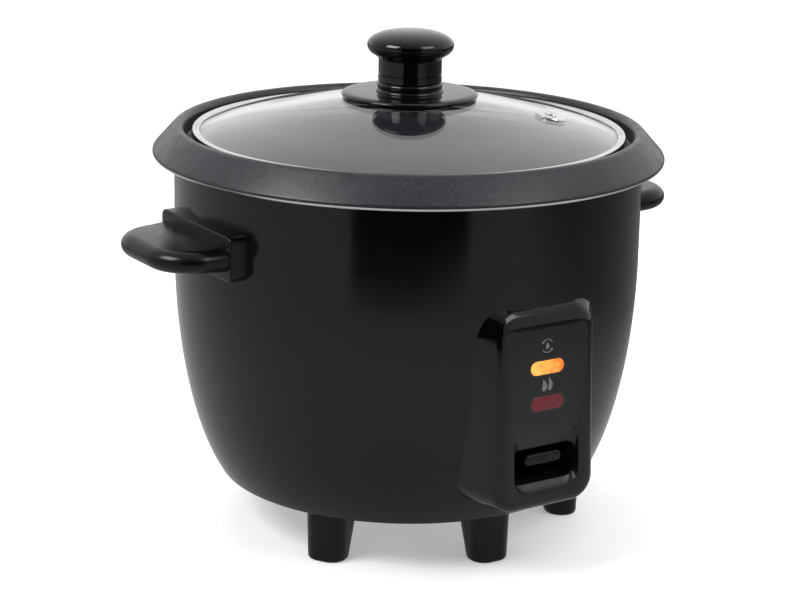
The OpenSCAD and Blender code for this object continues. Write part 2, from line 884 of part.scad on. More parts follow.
module control_housing() {
    color("#1a1b1c")
        difference() {
            housing_form();
            shell_form();
            on_face() {
                recess_form();
                // lens windows, with the step that each lens seats on
                for (z = [lens_warm_z, lens_cook_z])
                    translate([0, 0, z - panel_mid]) {
                        upright(-eps, panel_wall + eps)
                            round_rect(lens_w, lens_h, lens_h / 2 - 0.01);
                        upright(1.4, panel_wall + eps)
                            round_rect(lens_w + 2, lens_h + 2, lens_h / 2);
                    }
                // cavity for the lamps
                translate([-cavity_w, panel_wall, lens_cook_z - lens_h - panel_mid])
                    cube([2 * cavity_w, 30, lens_warm_z - lens_cook_z + 2 * lens_h]);
            }
            for (x = [-1, 1])
                translate([x * housing_screw_x, housing_screw_tip - 0.3, housing_screw_z])
                    rotate([-90, 0, 0])
                        cylinder(r = housing_screw_r, h = 30, $fn = hole_fn);
        }
}

// Place of the screw heads on the shell's inner face, and of the screws' tips in the housing
housing_screw_seat = -sqrt(pow(shell_r(housing_screw_z - housing_head_r) - body_wall, 2)
    - pow(housing_screw_x + housing_head_r, 2)) + seat_gap;
housing_screw_tip = -panel_reach + panel_wall + 1.4;

module housing_screws() {
    color("#8e9092")
        for (x = [-1, 1])
            translate([x * housing_screw_x, housing_screw_seat, housing_screw_z])
                rotate([90, 0, 0])
                    screw(housing_screw_r, housing_screw_seat - housing_screw_tip, housing_head_r, 1.2);
}

// A pill-shaped lens with a seat flange
module lens(z, tint) {
    color(tint)
        on_face()
            translate([0, 0, z - panel_mid])
                union() {
                    upright(-0.2, 1.5)
                        round_rect(lens_w - 2 * seat_gap, lens_h - 2 * seat_gap, lens_h / 2 - 0.12);
                    upright(1.45, panel_wall)
                        round_rect(lens_w + 1.6, lens_h + 1.6, lens_h / 2 - 0.2);
                }
}

module lens_warm() lens(lens_warm_z, "#f0962e");
module lens_cook() lens(lens_cook_z, "#6e2028");

lamp_y = panel_wall + 3;

module lamp_carrier() {
    color("#c8bfa6")
        on_face()
            translate([-lens_w / 2 - 3, panel_wall + 0.05, (lens_warm_z + lens_cook_z) / 2 - panel_mid])
                difference() {
                    translate([0, 0, -2.6])
                        cube([lens_w + 6, 5.2, 5.2]);
                    for (s = [-1, 1])
                        translate([-eps, lamp_y - panel_wall, s * (lens_warm_z - lens_cook_z) / 2])
                            rotate([0, 90, 0])
                                cylinder(r = 5, h = lens_w + 8, $fn = hole_fn);
                }
}

module lamp(z) {
    color("#e8c9a0")
        on_face()
            translate([0, lamp_y, z - panel_mid])
                rotate([0, 90, 0])
                    union() {
                        cylinder(r = 2.1, h = 10, center = true, $fn = hole_fn);
                        translate([0, 0, 5])
                            sphere(r = 2.1, $fn = hole_fn);
                    }
}

module lamp_warm() lamp(lens_warm_z);
module lamp_cook() lamp(lens_cook_z);

// ---- mains inlet ----

inlet_face_y = shell_r(inlet_z + inlet_h / 2 + 3) + 2.2;
pin_pitch = 7;

module inlet_housing() {
    color("#141415")
        difference() {
            union() {
                difference() {
                    translate([0, 0, inlet_z])
                        upright(inlet_face_y - 16, inlet_face_y)
                            round_rect(inlet_w + 7, inlet_h + 7, 3);
                    shell_form();
                }
                translate([-inlet_w / 2, inlet_face_y - inlet_depth - 3, inlet_z - inlet_h / 2])
                    cube([inlet_w, inlet_depth + 1, inlet_h]);
            }
            translate([0, 0, inlet_z])
                upright(inlet_face_y - inlet_depth, inlet_face_y + eps)
                    polygon([[-inlet_w / 2 + 1.5, -inlet_h / 2 + 1.5], [inlet_w / 2 - 1.5, -inlet_h / 2 + 1.5],
                        [inlet_w / 2 - 1.5, inlet_h / 2 - 5], [inlet_w / 2 - 5, inlet_h / 2 - 1.5],
                        [-inlet_w / 2 + 5, inlet_h / 2 - 1.5], [-inlet_w / 2 + 1.5, inlet_h / 2 - 5]]);
            for (x = [-1, 0, 1])
                translate([x * pin_pitch - 1 - seat_gap / 2, 0, inlet_z - 2 - seat_gap / 2 + inlet_pin_up(x)])
                    cube([2 + seat_gap, inlet_face_y, 4 + seat_gap]);
        }
}

// The middle pin, for earth, sits above the other two
function inlet_pin_up(x) = x == 0 ? 2 : -1;

module inlet_pins() {
    color("#c9b26a")
        for (x = [-1, 0, 1])
            translate([x * pin_pitch - 1, inlet_face_y - inlet_depth - 8, inlet_z - 2 + inlet_pin_up(x)])
                cube([2, inlet_depth + 4, 4]);
}

// ---- handles ----

// Built at the front and turned to its side
module handle(a) {
    tip_r = grip_tip - 10;
    color("#1a1a1b")
        turned(a)
            difference() {
                union() {
                    // plate and the block behind it, with two screw bosses
                    translate([0, 0, grip_z - 0.2]) {
                        upright(-hplate_reach, -hplate_reach + hplate_t)
                            round_rect(2 * hplate_w, hplate_h, 3);
                        upright(-hplate_reach + 0.5, -body_r + 14)
                            round_rect(2 * hplate_w - 2, hplate_h - 2, 2.4);
                    }
                    for (x = [-1, 1])
                        translate([x * handle_screw_x, -hplate_reach + 0.8, grip_z + 0.6])
                            rotate([-90, 0, 0])
                                cylinder(r = boss_r, h = 12, $fn = 48);
                    grip();
                }
                shell_form();
                // hollow underside of the grip, with a middle rib
                translate([0, 0, grip_z - grip_t / 2 - eps])
                    linear_extrude(grip_t - 3.4 + eps)
                        difference() {
                            offset(r = 2, $fn = hull_fn)
                                polygon([[-grip_root + 7, -hplate_reach - 4], [grip_root - 7, -hplate_reach - 4],
                                    [grip_tip - 8, -grip_reach + 8], [-grip_tip + 8, -grip_reach + 8]]);
                            translate([-1, -grip_reach])
                                square([2, grip_reach]);
                        }
                for (x = [-1, 1])
                    translate([x * handle_screw_x, -hplate_reach + 1.2, grip_z])
                        rotate([-90, 0, 0])
                            cylinder(r = handle_screw_r, h = 30, $fn = hole_fn);
            }
}

// The grip: a flat ledge, wide at the root, with full round edges
module grip() {
    round_r = grip_t / 2;
    corner_r = 9;
    hull() {
        for (x = [-1, 1])
            translate([x * (grip_tip - corner_r), -grip_reach + corner_r, grip_z])
                round_button(corner_r, round_r);
        translate([0, 0, grip_z])
            upright(-hplate_reach - 0.4, -hplate_reach + 1)
                round_rect(2 * grip_root, grip_t, round_r - 0.8);
    }
}

module handle_left() handle(-90);
module handle_right() handle(90);

module handle_screws() {
    head_r = 3;
    seat_y = sqrt(pow(shell_r(grip_z) - body_wall, 2) - pow(handle_screw_x + head_r, 2)) - seat_gap;
    color("#8e9092")
        for (side = [-90, 90], x = [-1, 1])
            turned(side)
                translate([x * handle_screw_x, -seat_y, grip_z])
                    rotate([90, 0, 0])
                        screw(handle_screw_r, hplate_reach - 1.5 - seat_y, head_r, 1.8);
}

// ---- pot ----

pot_z = plate_z + lift_gap;
pot_mid_r = pot_r - pot_t / 2;
crest_round = 2.6;
roll_round = 2.6;
riser_r = crest_r - crest_round + pot_t / 2;
ledge_mid = ledge_z - pot_t / 2;
cone_a = 90 - atan2(crest_z - crest_round - (flange_edge_z + 2.4), flange_r - roll_round - crest_r);

// One side of the pot's sheet, s = 1 inside and on top, s = -1 underneath, s = 0 along the middle
function pot_side(s) = concat(
    [[0, pot_z + pot_t / 2 + s * pot_t / 2]],
    arc([pot_mid_r - pot_taper - pot_corner, pot_z + pot_t / 2 + pot_corner], pot_corner - s * pot_t / 2, -90, -2, 10),
    arc([pot_mid_r + 2.5, ledge_mid - 2.5], 2.5 + s * pot_t / 2, 178, 90, 5),
    arc([riser_r - 2, ledge_mid + 2], 2 - s * pot_t / 2, -90, 0, 5),
    arc([crest_r, crest_z - crest_round], crest_round - pot_t / 2 + s * pot_t / 2, 180, cone_a, 8),
    arc([flange_r - roll_round, flange_edge_z + 2.4], roll_round - pot_t / 2 + s * pot_t / 2, cone_a, -50, 8));

module inner_pot() {
    color("#3c3d42")
        rotate_extrude()
            polygon(concat(pot_side(1), reversed(pot_side(-1))));
}

// ---- lid ----

rim_z0 = ledge_z + lift_gap;
glass_edge_r = rim_r - 1.2;
glass_edge_z = rim_z0 + rim_h - 1.2;
dome_rise = dome_z - glass_edge_z;
dome_r = (pow(glass_edge_r, 2) + pow(dome_rise, 2)) / (2 * dome_rise);
dome_a = asin(glass_edge_r / dome_r);

// One side of the glass: part of a circle centred on the axis
function dome_side(sink) =
    [for (i = [0 : 24]) let (a = dome_a * i / 24)
        [(dome_r - sink) * sin(a), dome_z - dome_r + (dome_r - sink) * cos(a)]];

// Height of the glass's top face at a distance from the axis
function dome_height(r) = dome_z - dome_r + sqrt(pow(dome_r, 2) - pow(r, 2));

// Places a piece on the glass at the steam vent, +Z out of the glass
module at_vent() {
    tilt = asin(vent_reach / dome_r);
    turned(vent_angle)
        translate([0, -vent_reach, dome_height(vent_reach)])
            rotate([tilt, 0, 0])
                children();
}

vent_r = 3.6;

module lid_glass() {
    color("#b8c4c4", 0.35)
        difference() {
            rotate_extrude()
                polygon(concat(dome_side(0), reversed(dome_side(glass_t))));
            translate([0, 0, dome_z - 2 * glass_t])
                cylinder(r = knob_screw_r + 1, h = 3 * glass_t, $fn = hole_fn);
            at_vent()
                translate([0, 0, -2 * glass_t])
                    cylinder(r = vent_r + seat_gap, h = 4 * glass_t, $fn = hole_fn);
        }
}

// The steel band is folded round the edge of the glass
module lid_rim() {
    lip = 3;
    color("#c6c8ca")
        rotate_extrude()
            difference() {
                translate([rim_r - lip, rim_z0])
                    hull() {
                        translate([1, 1])
                            circle(r = 1, $fn = hole_fn);
                        translate([lip - 1, 1])
                            circle(r = 1, $fn = hole_fn);
                        translate([lip - 1.2, rim_h - 1.2])
                            circle(r = 1.2, $fn = hole_fn);
                        translate([0.8, rim_h - 0.8])
                            circle(r = 0.8, $fn = hole_fn);
                    }
                offset(delta = seat_gap / 2)
                    polygon(concat(dome_side(0), reversed(dome_side(glass_t))));
            }
}

module vent_eyelet() {
    color("#c9cbcd")
        at_vent()
            difference() {
                union() {
                    translate([0, 0, -glass_t - 0.9])
                        cylinder(r = vent_r, h = glass_t + 1.6, $fn = 48);
                    translate([0, 0, 0.15])
                        cylinder(r1 = vent_flange_r, r2 = vent_flange_r - 1, h = 0.8, $fn = 48);
                    translate([0, 0, -glass_t - 1])
                        cylinder(r1 = vent_flange_r - 1.6, r2 = vent_flange_r - 1, h = 0.8, $fn = 48);
                }
                translate([0, 0, -3 * glass_t])
                    cylinder(r = vent_r - 1.1, h = 6 * glass_t, $fn = hole_fn);
            }
}

// ---- knob ----

disc_z0 = dome_height(disc_r) + 0.4;
disc_top = disc_z0 + disc_edge + 1.4;
knob_z0 = disc_top + 0.2;
cap_mid_z = knob_top_z - 6.6;

module knob() {
    color("#0f0f11")
        difference() {
            rotate_extrude()
                polygon(concat(
                    [[0, knob_z0], [stem_r + 0.2, knob_z0], [stem_r + 0.2, knob_z0 + 1.4]],
                    arc([stem_r - 0.6, knob_z0 + 3], 1.2, -80, 60, 6),
                    [[stem_r - 0.6, knob_z0 + 4.4], [stem_r, knob_z0 + 4.8], [stem_r, cap_mid_z - 6]],
                    arc([stem_r + 1.2, cap_mid_z - 5.8], 1.2, 180, 100, 4),
                    [for (a = [-60 : 12 : 84]) [13.2 + (knob_r - 13.2) * cos(a), cap_mid_z + (a < 0 ? 4.6 : 3.6) * sin(a)]],
                    [for (a = [30 : 10 : 90]) [13 * cos(a), cap_mid_z + 3.6 + 3 * sin(a) - 1.5 * (1 - sin(a))]]));
            translate([0, 0, knob_z0 - eps])
                cylinder(r = knob_screw_r, h = 10 + eps, $fn = hole_fn);
        }
}

module knob_disc() {
    color("#121214")
        difference() {
            rotate_extrude()
                polygon(concat(
                    [[0, disc_top], [stem_r + 1.5, disc_top]],
                    arc([disc_r - 1.2, disc_z0 + disc_edge - 1.2], 1.2, 70, -20, 6),
                    [[disc_r - 1, disc_z0], [disc_r - 3.2, disc_z0], [disc_r - 4, disc_z0 + 1.8],
                        [gasket_r + 1, disc_z0 + 2.4], [gasket_r + 1, disc_top - 1.6], [0, disc_top - 1.6]]));
            translate([0, 0, disc_z0 - eps])
                cylinder(r = knob_screw_r + 0.3, h = 10, $fn = hole_fn);
        }
}

gasket_r = 9;

module knob_gasket() {
    color("#2a2a2c")
        difference() {
            translate([0, 0, dome_z + 0.05])
                cylinder(r = gasket_r, h = disc_top - 1.6 - dome_z - 0.1);
            translate([0, 0, dome_z - eps])
                cylinder(r = knob_screw_r + 0.3, h = 10, $fn = hole_fn);
        }
}

washer_z1 = dome_z - glass_t - 0.45;

module knob_washer() {
    color("#0f0f11")
        difference() {
            rotate_extrude()
                polygon(concat([[0, washer_z1 - washer_h], [washer_r - 4.5, washer_z1 - washer_h]],
                    arc([washer_r - 4, washer_z1 - washer_h + 4], 4, -80, 0, 6),
                    [[washer_r, washer_z1], [0, washer_z1]]));
            translate([0, 0, washer_z1 - washer_h - eps])
                cylinder(r = 4.6, h = 3 + eps, $fn = hole_fn);
            translate([0, 0, washer_z1 - washer_h - eps])
                cylinder(r = knob_screw_r + 0.3, h = 20, $fn = hole_fn);
        }
}

module knob_screw() {
    color("#b9bbbd")
        translate([0, 0, washer_z1 - washer_h + 3])
            screw(knob_screw_r, knob_z0 + 8 - washer_z1 + washer_h - 3, 4, 2.2);
}

outer_body();
inner_liner();
base_plate();
foot_front();
foot_left();
foot_right();
foot_rear();
foot_screws();
liner_posts();
base_screws();
heating_plate();
heating_tube();
plate_spacers();
plate_screws();
thermostat_guide();
thermostat_cap();
thermostat_core();
thermostat_spring();
magnet_plunger();
magnet();
plunger_pin();
pivot_bracket();
pivot_pin();
cook_lever();
lever_key();
lever_spring();
contact_block();
contact_blades();
keep_warm_heater();
thermal_fuse();
terminal_block();
control_housing();
housing_screws();
lens_warm();
lens_cook();
lamp_carrier();
lamp_warm();
lamp_cook();
inlet_housing();
inlet_pins();
handle_left();
handle_right();
handle_screws();
inner_pot();
lid_glass();
lid_rim();
knob();
knob_disc();
knob_gasket();
knob_washer();
knob_screw();
vent_eyelet();
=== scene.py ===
"""Looks, light and camera for a drum rice cooker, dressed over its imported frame.

Sizes are millimetres in the row's frame: +Z up along the drum's axis, the control panel
towards -Y. Meshes are made in metres.
"""

import logging
import math
from dataclasses import dataclass
from enum import Enum

import bmesh
import bpy
import numpy as np
from mathutils import Matrix


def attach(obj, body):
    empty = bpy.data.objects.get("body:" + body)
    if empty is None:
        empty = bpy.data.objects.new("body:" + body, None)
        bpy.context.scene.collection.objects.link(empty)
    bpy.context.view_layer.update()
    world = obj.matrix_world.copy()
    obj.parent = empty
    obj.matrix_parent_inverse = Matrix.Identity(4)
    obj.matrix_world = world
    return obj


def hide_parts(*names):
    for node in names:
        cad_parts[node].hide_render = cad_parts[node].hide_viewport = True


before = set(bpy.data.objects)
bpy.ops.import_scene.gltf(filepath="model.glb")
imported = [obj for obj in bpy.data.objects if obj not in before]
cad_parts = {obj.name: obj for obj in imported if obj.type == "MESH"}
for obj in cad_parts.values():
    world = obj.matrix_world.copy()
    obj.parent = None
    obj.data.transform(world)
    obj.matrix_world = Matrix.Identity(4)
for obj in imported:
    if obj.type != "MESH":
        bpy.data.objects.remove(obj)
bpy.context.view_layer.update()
LOG = logging.getLogger("cooker")
Tone = tuple[float, float, float]

# One millimetre in metres
MM = 0.001
# Points of an outline that lie closer than this, in millimetres, are one point
SAME_POINT = 1e-4
# Corners of a mesh that lie closer than this, in metres, are merged
MERGE = 2e-6
# The most of a straight side that the arc at one of its ends may take up
SIDE_SHARE = 0.48
# Steps of a full turn, where a class names no other number
STEPS = 160
# Halvings of a search along a line
HALVINGS = 24
# Tones of the studio
WHITE = (1.0, 1.0, 1.0, 1.0)
BLACK = (0.0, 0.0, 0.0, 1.0)


# ---- curves and surfaces ----


def arc(centre: tuple[float, float], radius: float, start: float, end: float,
        count: int = 8) -> np.ndarray:
    """Points of a circle, c + r (cos a, sin a), with a from start to end in degrees."""
    a = np.radians(np.linspace(start, end, count + 1))
    return np.stack([centre[0] + radius * np.cos(a), centre[1] + radius * np.sin(a)], axis=1)


def quarter(radius: float, steps: int = 6) -> tuple[np.ndarray, np.ndarray]:
    """A quarter of a circle as its two legs, r (1 - cos a) and r (1 - sin a)."""
    a = np.radians(np.linspace(0, 90, steps + 1))
    return radius * (1 - np.cos(a)), radius * (1 - np.sin(a))


def full_turn(steps: int) -> np.ndarray:
    """Angles of a full turn in equal steps, in radians."""
    return np.linspace(0, 2 * np.pi, steps, endpoint=False)


def upright(outline: np.ndarray, y: float | np.ndarray) -> np.ndarray:
    """Stands an outline (x, z) up at a distance along Y."""
    return np.insert(outline, 1, y, axis=1)


def level(outline: np.ndarray, z: float | np.ndarray) -> np.ndarray:
    """Lays an outline (x, y) at a height."""
    return np.insert(outline, 2, z, axis=1)


def chain(*parts) -> np.ndarray:
    """Joins runs of points end to end and drops a point that repeats the one before it.

    Args:
        parts: points or arrays of points.

    Returns:
        One array of points.
    """
    points = np.concatenate([np.atleast_2d(np.asarray(p, float)) for p in parts])
    moved = np.linalg.norm(np.diff(points, axis=0), axis=1) > SAME_POINT
    return points[np.concatenate([[True], moved])]


def softened(points, radii, steps: int = 4) -> np.ndarray:
    """Rounds the corners of a closed outline: each becomes an arc that touches both its sides.

    The arc's centre lies on the corner's bisector at r / sin(half the corner's angle).

    Args:
        points: the outline's corners.
        radii: one radius for all, or one for each corner.
        steps: steps of each arc.

    Returns:
        The rounded outline.
    """
    p = np.asarray(points, float)
    back, ahead = np.roll(p, 1, axis=0) - p, np.roll(p, -1, axis=0) - p
    lb, la = np.linalg.norm(back, axis=1), np.linalg.norm(ahead, axis=1)
    u, v = back / lb[:, None], ahead / la[:, None]
    half = 0.5 * np.arccos(np.clip((u * v).sum(1), -1, 1))
    reach = np.broadcast_to(radii, len(p)) / np.tan(half)
    reach = np.minimum(reach, SIDE_SHARE * np.minimum(lb, la))
    r = reach * np.tan(half)
    middle = u + v
    middle /= np.maximum(np.linalg.norm(middle, axis=1), 1e-9)[:, None]
    centre = p + middle * (r / np.sin(half))[:, None]
    first, last = p + u * reach[:, None] - centre, p + v * reach[:, None] - centre
    a0 = np.arctan2(first[:, 1], first[:, 0])
    turn = np.arctan2(last[:, 1], last[:, 0]) - a0
    turn = (turn + np.pi) % (2 * np.pi) - np.pi
    a = a0[:, None] + turn[:, None] * np.linspace(0, 1, steps + 1)
    out = centre[:, None] + r[:, None, None] * np.stack([np.cos(a), np.sin(a)], axis=2)
    return chain(out.reshape(-1, 2))


def rounded_rect(half_w: float, half_h: float, radius: float, corner: int = 10,
                 side: int = 6) -> np.ndarray:
    """A rectangle with round corners, centred, always with the same number of points.

    Args:
        half_w: half its width.
        half_h: half its height.
        radius: radius of its corners.
        corner: steps of each corner.
        side: steps of each straight side.

    Returns:
        The outline, anticlockwise from the right-hand side's upper end.
    """
    x, y = half_w - radius, half_h - radius
    turns = [arc(c, radius, a, a + 90, corner) for c, a in
             (((x, y), 0), ((-x, y), 90), ((-x, -y), 180), ((x, -y), 270))]
    s = np.linspace(0, 1, side, endpoint=False)[1:, None]
    runs = []
    for here, after in zip(turns, turns[1:] + turns[:1]):
        runs += [here, here[-1] + (after[0] - here[-1]) * s]
    return np.concatenate(runs)


def linked(name: str, data: bpy.types.ID | None) -> bpy.types.Object:
    """Makes an object of a mesh, a lamp or a camera, and puts it in the scene."""
    made = bpy.data.objects.new(name, data)
    bpy.context.scene.collection.objects.link(made)
    return made


def settle(name: str, points: np.ndarray, quads: np.ndarray,
           crease: float = 32) -> bpy.types.Object:
    """Makes a closed mesh object from points in millimetres, its seams and poles merged.

    Args:
        name: the object's name.
        points: an array of points.
        quads: an array of faces, four indices each.
        crease: the angle between faces, in degrees, past which an edge stays sharp.

    Returns:
        The object, smooth-shaded, faces outwards.
    """
    mesh = bpy.data.meshes.new(name)
    mesh.from_pydata((points.reshape(-1, 3) * MM).tolist(), [], quads.tolist())
    bm = bmesh.new()
    bm.from_mesh(mesh)
    bmesh.ops.remove_doubles(bm, verts=bm.verts, dist=MERGE)
    bmesh.ops.delete(bm, geom=[v for v in bm.verts if not v.link_faces], context="VERTS")
    bmesh.ops.recalc_face_normals(bm, faces=bm.faces)
    bm.to_mesh(mesh)
    bm.free()
    mesh.shade_smooth()
    mesh.set_sharp_from_angle(angle=math.radians(crease))
    return linked(name, mesh)


def grid_faces(rows: int, columns: int, wrap: bool) -> np.ndarray:
    """Faces of a grid of points that closes on itself along each row.

    Args:
        rows: number of rows.
        columns: number of points in a row.
        wrap: whether the last row joins the first.

    Returns:
        Quads as indices into the grid, row by row.
    """
    i = np.arange(rows if wrap else rows - 1)[:, None]
    j = np.arange(columns)[None, :]
    i1, j1 = (i + 1) % rows, (j + 1) % columns
    at = [i * columns + j, i1 * columns + j, i1 * columns + j1, i * columns + j1]
    return np.stack([np.broadcast_to(a, (len(i), columns)).ravel() for a in at], axis=1)


def lofted(name: str, loops, ring: bool = False, crease: float = 32) -> bpy.types.Object:
    """A surface through a stack of loops: s(u, v) with u from loop to loop and v round each.

    Args:
        name: the object's name.
        loops: an array (loops, points, 3).
        ring: whether the last loop joins the first; otherwise both ends are closed at their
            middles.
        crease: see settle.

    Returns:
        The object.
    """
    rows = np.asarray(loops, float)
    if not ring:
        ends = [np.broadcast_to(e.mean(axis=0), e.shape)[None] for e in (rows[0], rows[-1])]
        rows = np.concatenate([ends[0], rows, ends[1]])
    return settle(name, rows, grid_faces(len(rows), rows.shape[1], ring), crease)


def revolved(profile: np.ndarray, angles: np.ndarray) -> np.ndarray:
    """Carries a profile of (r, z) round the axis to each angle: (r cos t, r sin t, z)."""
    r, z = profile[:, :1], profile[:, 1:]
    return np.stack([r * np.cos(angles), r * np.sin(angles), z + 0 * angles], axis=2)


def turned(name: str, profile: np.ndarray, steps: int = STEPS,
           crease: float = 32) -> bpy.types.Object:
    """A turned solid. Its profile (r, z) is closed, or runs from the axis to the axis."""
    on_axis = profile[0, 0] < SAME_POINT and profile[-1, 0] < SAME_POINT
    faces = grid_faces(len(profile), steps, not on_axis)
    return settle(name, revolved(profile, full_turn(steps)), faces, crease)


def walled(name: str, outer: np.ndarray, inner: np.ndarray, keep: np.ndarray) -> bpy.types.Object:
    """A sheet of two skins on one grid, joined at its ends and round every opening.

    Args:
        name: the object's name.
        outer: the outer skin's grid (rows, columns, 3), closed along its rows.
        inner: the inner skin's grid.
        keep: which cells (rows - 1, columns) are sheet and not opening.

    Returns:
        The object.
    """
    rows, columns = outer.shape[:2]
    base = rows * columns
    at = np.arange(base).reshape(rows, columns)
    right = np.roll(at, -1, axis=1)
    cell = np.stack([at[:-1], at[1:], right[1:], right[:-1]], axis=2)[keep]
    padded = np.concatenate([keep[:1] & False, keep, keep[:1] & False])
    flat = padded[1:] != padded[:-1]
    a, b = at[flat], right[flat]
    across = np.stack([a, b, b + base, a + base], axis=1)
    steep = keep != np.roll(keep, 1, axis=1)
    c, d = at[:-1][steep], at[1:][steep]
    along = np.stack([c, d, d + base, c + base], axis=1)
    faces = np.concatenate([cell, cell[:, ::-1] + base, across, along])
    return settle(name, np.concatenate([outer, inner]), faces)


def facing(points: np.ndarray, angle: float) -> np.ndarray:
    """Turns points made at the front about the axis, towards +X for a positive angle in degrees."""
    c, s = math.cos(math.radians(angle)), math.sin(math.radians(angle))
    return points @ np.array([[c, s, 0], [-s, c, 0], [0, 0, 1]])


# ---- finishes ----


class Graph:
    """The nodes of a material or of a world, with its output and its coordinates."""

    def __init__(self, owner: bpy.types.ID, output: str = "ShaderNodeOutputMaterial",
                 place: str = "Object") -> None:
        """Clears the owner's nodes and adds the two that every graph has.

        Args:
            owner: the material or the world.
            output: type of the output node.
            place: which coordinates the graph works from.
        """
        self.owner = owner
        self.owner.use_nodes = True
        self.owner.node_tree.nodes.clear()
        self.out = self.add(output)
        self.place = self.add("ShaderNodeTexCoord").outputs[place]
        self.shader: bpy.types.Node | None = None

    def link(self, source, target) -> None:
        """Joins two sockets."""
        self.owner.node_tree.links.new(source, target)

    def add(self, kind: str, inputs: dict | None = None, **settings) -> bpy.types.Node:
        """Adds a node.

        Args:
            kind: the node's type.
            inputs: a value or a socket for each named or numbered input.
            settings: the node's own properties.

        Returns:
            The node.
        """
        node = self.owner.node_tree.nodes.new(kind)
        for key, value in settings.items():
            setattr(node, key, value)
        for key, value in (inputs or {}).items():
            if isinstance(value, bpy.types.NodeSocket):
                self.link(value, node.inputs[key])
            else:
                node.inputs[key].default_value = value
        return node

    def surface(self, shader: bpy.types.Node) -> None:
        """Wires a shader to the output."""
        self.link(shader.outputs[0], self.out.inputs[0])

    def principled(self, inputs: dict) -> None:
        """Adds the graph's main shader and wires it to the output."""
        self.shader = self.add("ShaderNodeBsdfPrincipled", inputs)
        self.surface(self.shader)

    def mix(self, factor, first: bpy.types.Node, second: bpy.types.Node) -> bpy.types.Node:
        """Mixes two shaders by a factor."""
        inputs = {0: factor, 1: first.outputs[0], 2: second.outputs[0]}
        return self.add("ShaderNodeMixShader", inputs)

    def total(self, first: bpy.types.Node, second: bpy.types.Node) -> bpy.types.Node:
        """Adds two shaders up."""
        return self.add("ShaderNodeAddShader", {0: first.outputs[0], 1: second.outputs[0]})

    def calc(self, operation: str, first, second):
        """Works out one value socket from two."""
        return self.add("ShaderNodeMath", {0: first, 1: second}, operation=operation).outputs[0]

    def ray(self, kind: str):
        """A socket that is 1 for one kind of ray, such as Is Camera Ray."""
        return self.add("ShaderNodeLightPath").outputs[kind]

    def noise(self, scale: float, detail: float = 3, stretch: Tone = (1, 1, 1)):
        """Noise of about 0 to 1, with scale periods in a metre and a stretch along each axis."""
        place = self.add("ShaderNodeMapping", {"Vector": self.place, "Scale": stretch}).outputs[0]
        inputs = {"Vector": place, "Scale": scale, "Detail": detail}
        return self.add("ShaderNodeTexNoise", inputs).outputs[0]

    def spread(self, value, low: float, high: float, from_low: float = 0.3,
               from_high: float = 0.7):
        """Maps a value socket from one range to another."""
        inputs = {0: value, 1: from_low, 2: from_high, 3: low, 4: high}
        return self.add("ShaderNodeMapRange", inputs).outputs[0]

    def blend(self, factor, first: Tone, second: Tone):
        """Mixes two colours by a factor; either colour may be a socket."""
        pick = [c if isinstance(c, bpy.types.NodeSocket) else (*c, 1) for c in (first, second)]
        inputs = {0: factor, 6: pick[0], 7: pick[1]}
        return self.add("ShaderNodeMix", inputs, data_type="RGBA").outputs[2]

    def bump(self, height, depth: float, normal=None):
        """Turns a height socket into a normal.

        Args:
            height: the socket.
            depth: height of a full step, in metres.
            normal: a normal to build on.

        Returns:
            The new normal socket, wired to the shader.
        """
        inputs = {"Height": height, "Distance": depth, "Strength": 1.0}
        if normal is not None:
            inputs["Normal"] = normal
        out = self.add("ShaderNodeBump", inputs).outputs[0]
        self.link(out, self.shader.inputs["Normal"])
        return out


@dataclass(frozen=True)
class Finish:
    """A surface finish: tone, sheen, and the fine unevenness that real material has."""

    name: str
    tone: Tone
    roughness: float
    tone_spread: float = 0.15
    roughness_spread: float = 0.06
    metallic: float = 0.0
    ior: float = 1.45
    cloud: float = 38.0
    wear: float = 170.0
    grain: float = 2600.0
    grain_depth: float = 0.000006

    def material(self) -> bpy.types.Material:
        """The finish's material, made once."""
        known = bpy.data.materials.get(f"look_{self.name}")
        return known if known else self.build().owner

    def build(self) -> Graph:
        """Makes the material: clouds in its tone, wear in its sheen, and a fine grain.

        Returns:
            The graph, for a finish that adds to it.
        """
        g = Graph(bpy.data.materials.new(f"look_{self.name}"))
        g.principled({"Metallic": self.metallic, "IOR": self.ior})
        low, high = (tuple(c * (1 + s) for c in self.tone)
                     for s in (-self.tone_spread, self.tone_spread))
        g.link(g.blend(g.spread(g.noise(self.cloud, 4), 0, 1), low, high),
               g.shader.inputs["Base Color"])
        least, most = (self.roughness + s for s in (-self.roughness_spread, self.roughness_spread))
        g.link(g.spread(g.noise(self.wear, 5), least, most), g.shader.inputs["Roughness"])
        g.bump(g.noise(self.grain), self.grain_depth)
        return g


@dataclass(frozen=True)
class SpeckledCoat(Finish):
    """A baked non-stick coat with fine mineral flecks."""

    fleck: float = 4200.0
    fleck_tone: Tone = (0.13, 0.13, 0.16)
    fleck_share: float = 0.3
    fleck_depth: float = 0.00001
    peel: float = 520.0
    peel_depth: float = 0.00003

    def build(self) -> Graph:
        """Adds flecks: cells whose random value passes a threshold are paler and raised."""
        g = super().build()
        cells = g.add("ShaderNodeTexVoronoi", {"Vector": g.place, "Scale": self.fleck})
        chance = g.add("ShaderNodeSeparateColor", {0: cells.outputs["Color"]}).outputs[0]
        core = g.spread(cells.outputs["Distance"], 1, 0, 0.15, 0.45)
        least = 1 - self.fleck_share
        weight = g.calc("MULTIPLY", core, g.spread(chance, 0, 1, least, least + 0.05))
        base = g.shader.inputs["Base Color"]
        g.link(g.blend(weight, base.links[0].from_socket, self.fleck_tone), base)
        g.bump(weight, self.fleck_depth, g.bump(g.noise(self.peel, 2), self.peel_depth))
        return g


